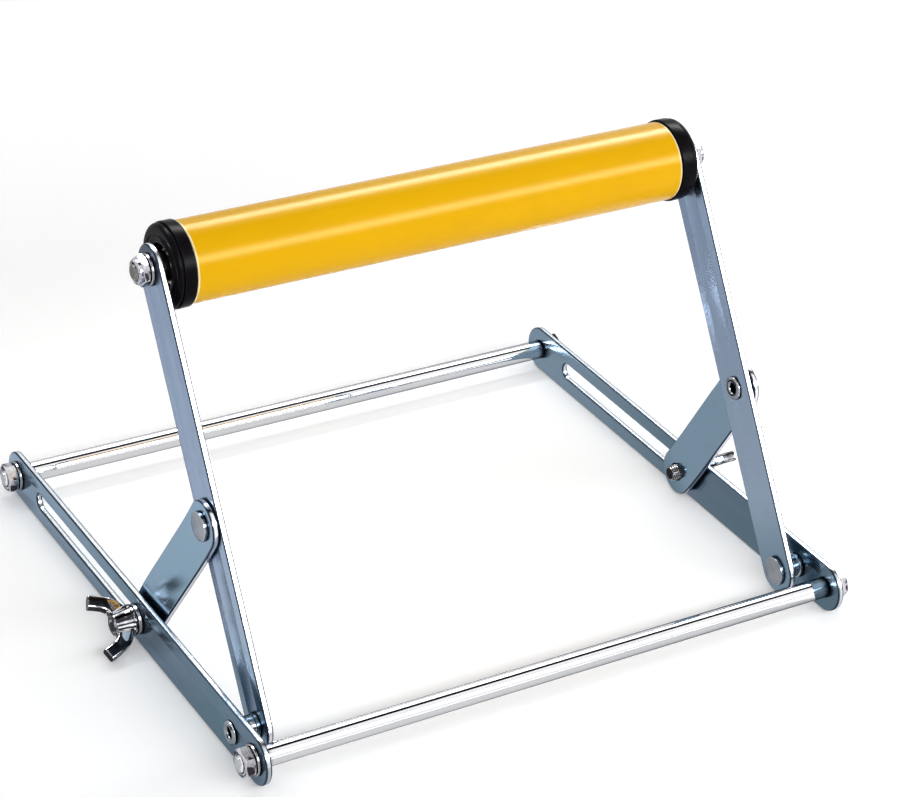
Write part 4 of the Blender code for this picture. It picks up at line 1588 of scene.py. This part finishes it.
def card(name, place, size, glow):
    """A black or glowing card that only reflections see, as product photographers use."""
    sheet = flat_sheet(name, place, half_size=0.5, parts=2)
    sheet.scale = (*size, 1)
    sheet.visible_camera = False
    sheet.visible_diffuse = False
    sheet.visible_shadow = False
    material, _, shader = started_material(name, CARD_BLACK)
    set_inputs(shader, {"Base Color": (*CARD_BLACK, 1), "Roughness": 1.0, "Specular IOR Level": 0.0})
    set_inputs(shader, {"Emission Color": WHITE, "Emission Strength": glow})
    sheet.data.materials.append(material)
    return sheet


def seen_directly(tree):
    """A node that gives one for rays from the camera, a reflection or glass, and nought for the rest."""
    nodes = add_nodes(
        tree,
        {},
        {
            "path": ("LightPath", {}),
            "seen": ("Math", {"operation": "MAXIMUM"}),
            "any": ("Math", {"operation": "MAXIMUM"}),
        },
        (
            "path.Is Camera Ray > seen.0, path.Is Glossy Ray > seen.1, seen.0 > any.0",
            "path.Is Transmission Ray > any.1",
        ),
    )
    return nodes["any"]


def pale_floor(studio):
    """The floor's material: nearly even and matt, and lifted to white where it is seen directly."""
    material, tree, shader = started_material("Pale floor", studio.floor)
    matt = {"Roughness": FLOOR_ROUGHNESS, "Specular IOR Level": FLOOR_GLOSS}
    set_inputs(shader, {**matt, "Emission Color": WHITE})
    even = (*studio.floor, 1)
    duller = (*[channel * FLOOR_DULLING for channel in studio.floor], 1)
    reach = {"From Min": LIT_FLOOR_REACH, "From Max": FAR_FLOOR_REACH}
    glow = {"To Min": studio.floor_glow, "To Max": studio.far_glow}
    add_nodes(
        tree,
        {"shader": shader, "seen": seen_directly(tree)},
        {
            "grain": ("TexNoise", {"Scale": 3.0}),
            "tone": ("Mix", {"data_type": "RGBA", "A": even, "B": duller}),
            "place": ("TexCoord", {}),
            "distance": ("VectorMath", {"operation": "LENGTH"}),
            "lift": ("MapRange", {"interpolation_type": "SMOOTHSTEP", **reach, **glow}),
            "glow": ("Math", {"operation": "MULTIPLY"}),
        },
        (
            "grain.Fac > tone.Factor, tone.Result > shader.Base Color, place.Object > distance.0",
            "distance.Value > lift.Value, seen.0 > glow.0, lift.Result > glow.1",
            "glow.0 > shader.Emission Strength",
        ),
    )
    return material


def white_surroundings(studio):
    """A world that lights the stand evenly and is white where it is seen directly."""
    world = bpy.data.worlds.new("White studio")
    world.use_nodes = True
    tree = world.node_tree
    back = tree.nodes["Background"]
    set_inputs(back, {"Color": WHITE})
    add_nodes(
        tree,
        {"back": back, "seen": seen_directly(tree)},
        {"level": ("MapRange", {"To Min": studio.sky, "To Max": 1.0})},
        ("seen.0 > level.Value", "level.Result > back.Strength"),
    )
    return world


def camera_matrix():
    """Where the camera stands and how it is turned."""
    flat = math.cos(CAMERA_ELEVATION)
    back = Vector(
        (math.sin(CAMERA_AZIMUTH) * flat, -math.cos(CAMERA_AZIMUTH) * flat, math.sin(CAMERA_ELEVATION))
    )
    level = Vector((math.cos(CAMERA_AZIMUTH), math.sin(CAMERA_AZIMUTH), 0))
    upright = back.cross(level)
    right = math.cos(CAMERA_ROLL) * level + math.sin(CAMERA_ROLL) * upright
    up = math.cos(CAMERA_ROLL) * upright - math.sin(CAMERA_ROLL) * level
    return Matrix.Translation(CAMERA_PLACE) @ Matrix((right, up, back)).transposed().to_4x4()


class STAND_OT_studio(bpy.types.Operator):
    """Set up the floor, the lights, the white surroundings and the camera."""

    bl_idname = "stand.set_up_studio"
    bl_label = "Studio"

    def execute(self, context):
        studio = context.scene.stand_studio
        floor = flat_sheet("studio_floor", (0, 0, FLOOR_HEIGHT), FLOOR_HALF_SIZE, parts=8)
        floor.data.materials.append(pale_floor(studio))
        for name, (place, size) in LAMPS.items():
            soft_light(name, place, size, getattr(studio, name))
        for name, (place, size) in FACING_CARDS.items():
            card(name, place, size, getattr(studio, name)).rotation_euler = facing_stand(place)
        for name, (place, size) in LEVEL_CARDS.items():
            card(name, place, size, getattr(studio, name))
        context.scene.world = white_surroundings(studio)
        context.scene.view_settings.view_transform = "Standard"
        lens = bpy.data.cameras.new("camera")
        lens.sensor_width = SENSOR_WIDTH
        lens.lens = studio.focal_length * MM_PER_METRE
        lens.clip_start = CLIP_START
        lens.clip_end = CLIP_END
        camera = in_scene("camera", lens)
        camera.matrix_world = camera_matrix()
        context.scene.camera = camera
        return {"FINISHED"}


class STAND_PT_panel(bpy.types.Panel):
    """Lists the steps that build the stand and the values that they use."""

    bl_idname = "STAND_PT_panel"
    bl_label = "Roller stand"
    bl_space_type = "VIEW_3D"
    bl_region_type = "UI"
    bl_category = "Roller stand"

    def draw(self, context):
        layout = self.layout
        for group_name in ("stand_sizes", "stand_finishes", "stand_studio"):
            group = getattr(context.scene, group_name)
            box = layout.box()
            for value_name in group.__annotations__:
                box.prop(group, value_name)
        for step in STEPS:
            layout.operator(step.bl_idname)


GROUPS = (StandSizes, StandFinishes, StudioSettings)
STEPS = (
    STAND_OT_rails,
    STAND_OT_rods,
    STAND_OT_fasteners,
    STAND_OT_rivets,
    STAND_OT_arms,
    STAND_OT_links,
    STAND_OT_roller,
    STAND_OT_wing_bolts,
    STAND_OT_bearings,
    STAND_OT_studio,
)


def register():
    """Make the classes and their values known to the program."""
    for group in (*GROUPS, *STEPS, STAND_PT_panel):
        bpy.utils.register_class(group)
    bpy.types.Scene.stand_sizes = PointerProperty(type=StandSizes)
    bpy.types.Scene.stand_finishes = PointerProperty(type=StandFinishes)
    bpy.types.Scene.stand_studio = PointerProperty(type=StudioSettings)


def unregister():
    """Take the values and the classes away again."""
    del bpy.types.Scene.stand_sizes
    del bpy.types.Scene.stand_finishes
    del bpy.types.Scene.stand_studio
    for group in reversed((*GROUPS, *STEPS, STAND_PT_panel)):
        bpy.utils.unregister_class(group)


def main():
    """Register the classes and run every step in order."""
    register()
    for step in STEPS:
        family, name = step.bl_idname.split(".")
        getattr(getattr(bpy.ops, family), name)()


if __name__ == "__main__":
    main()
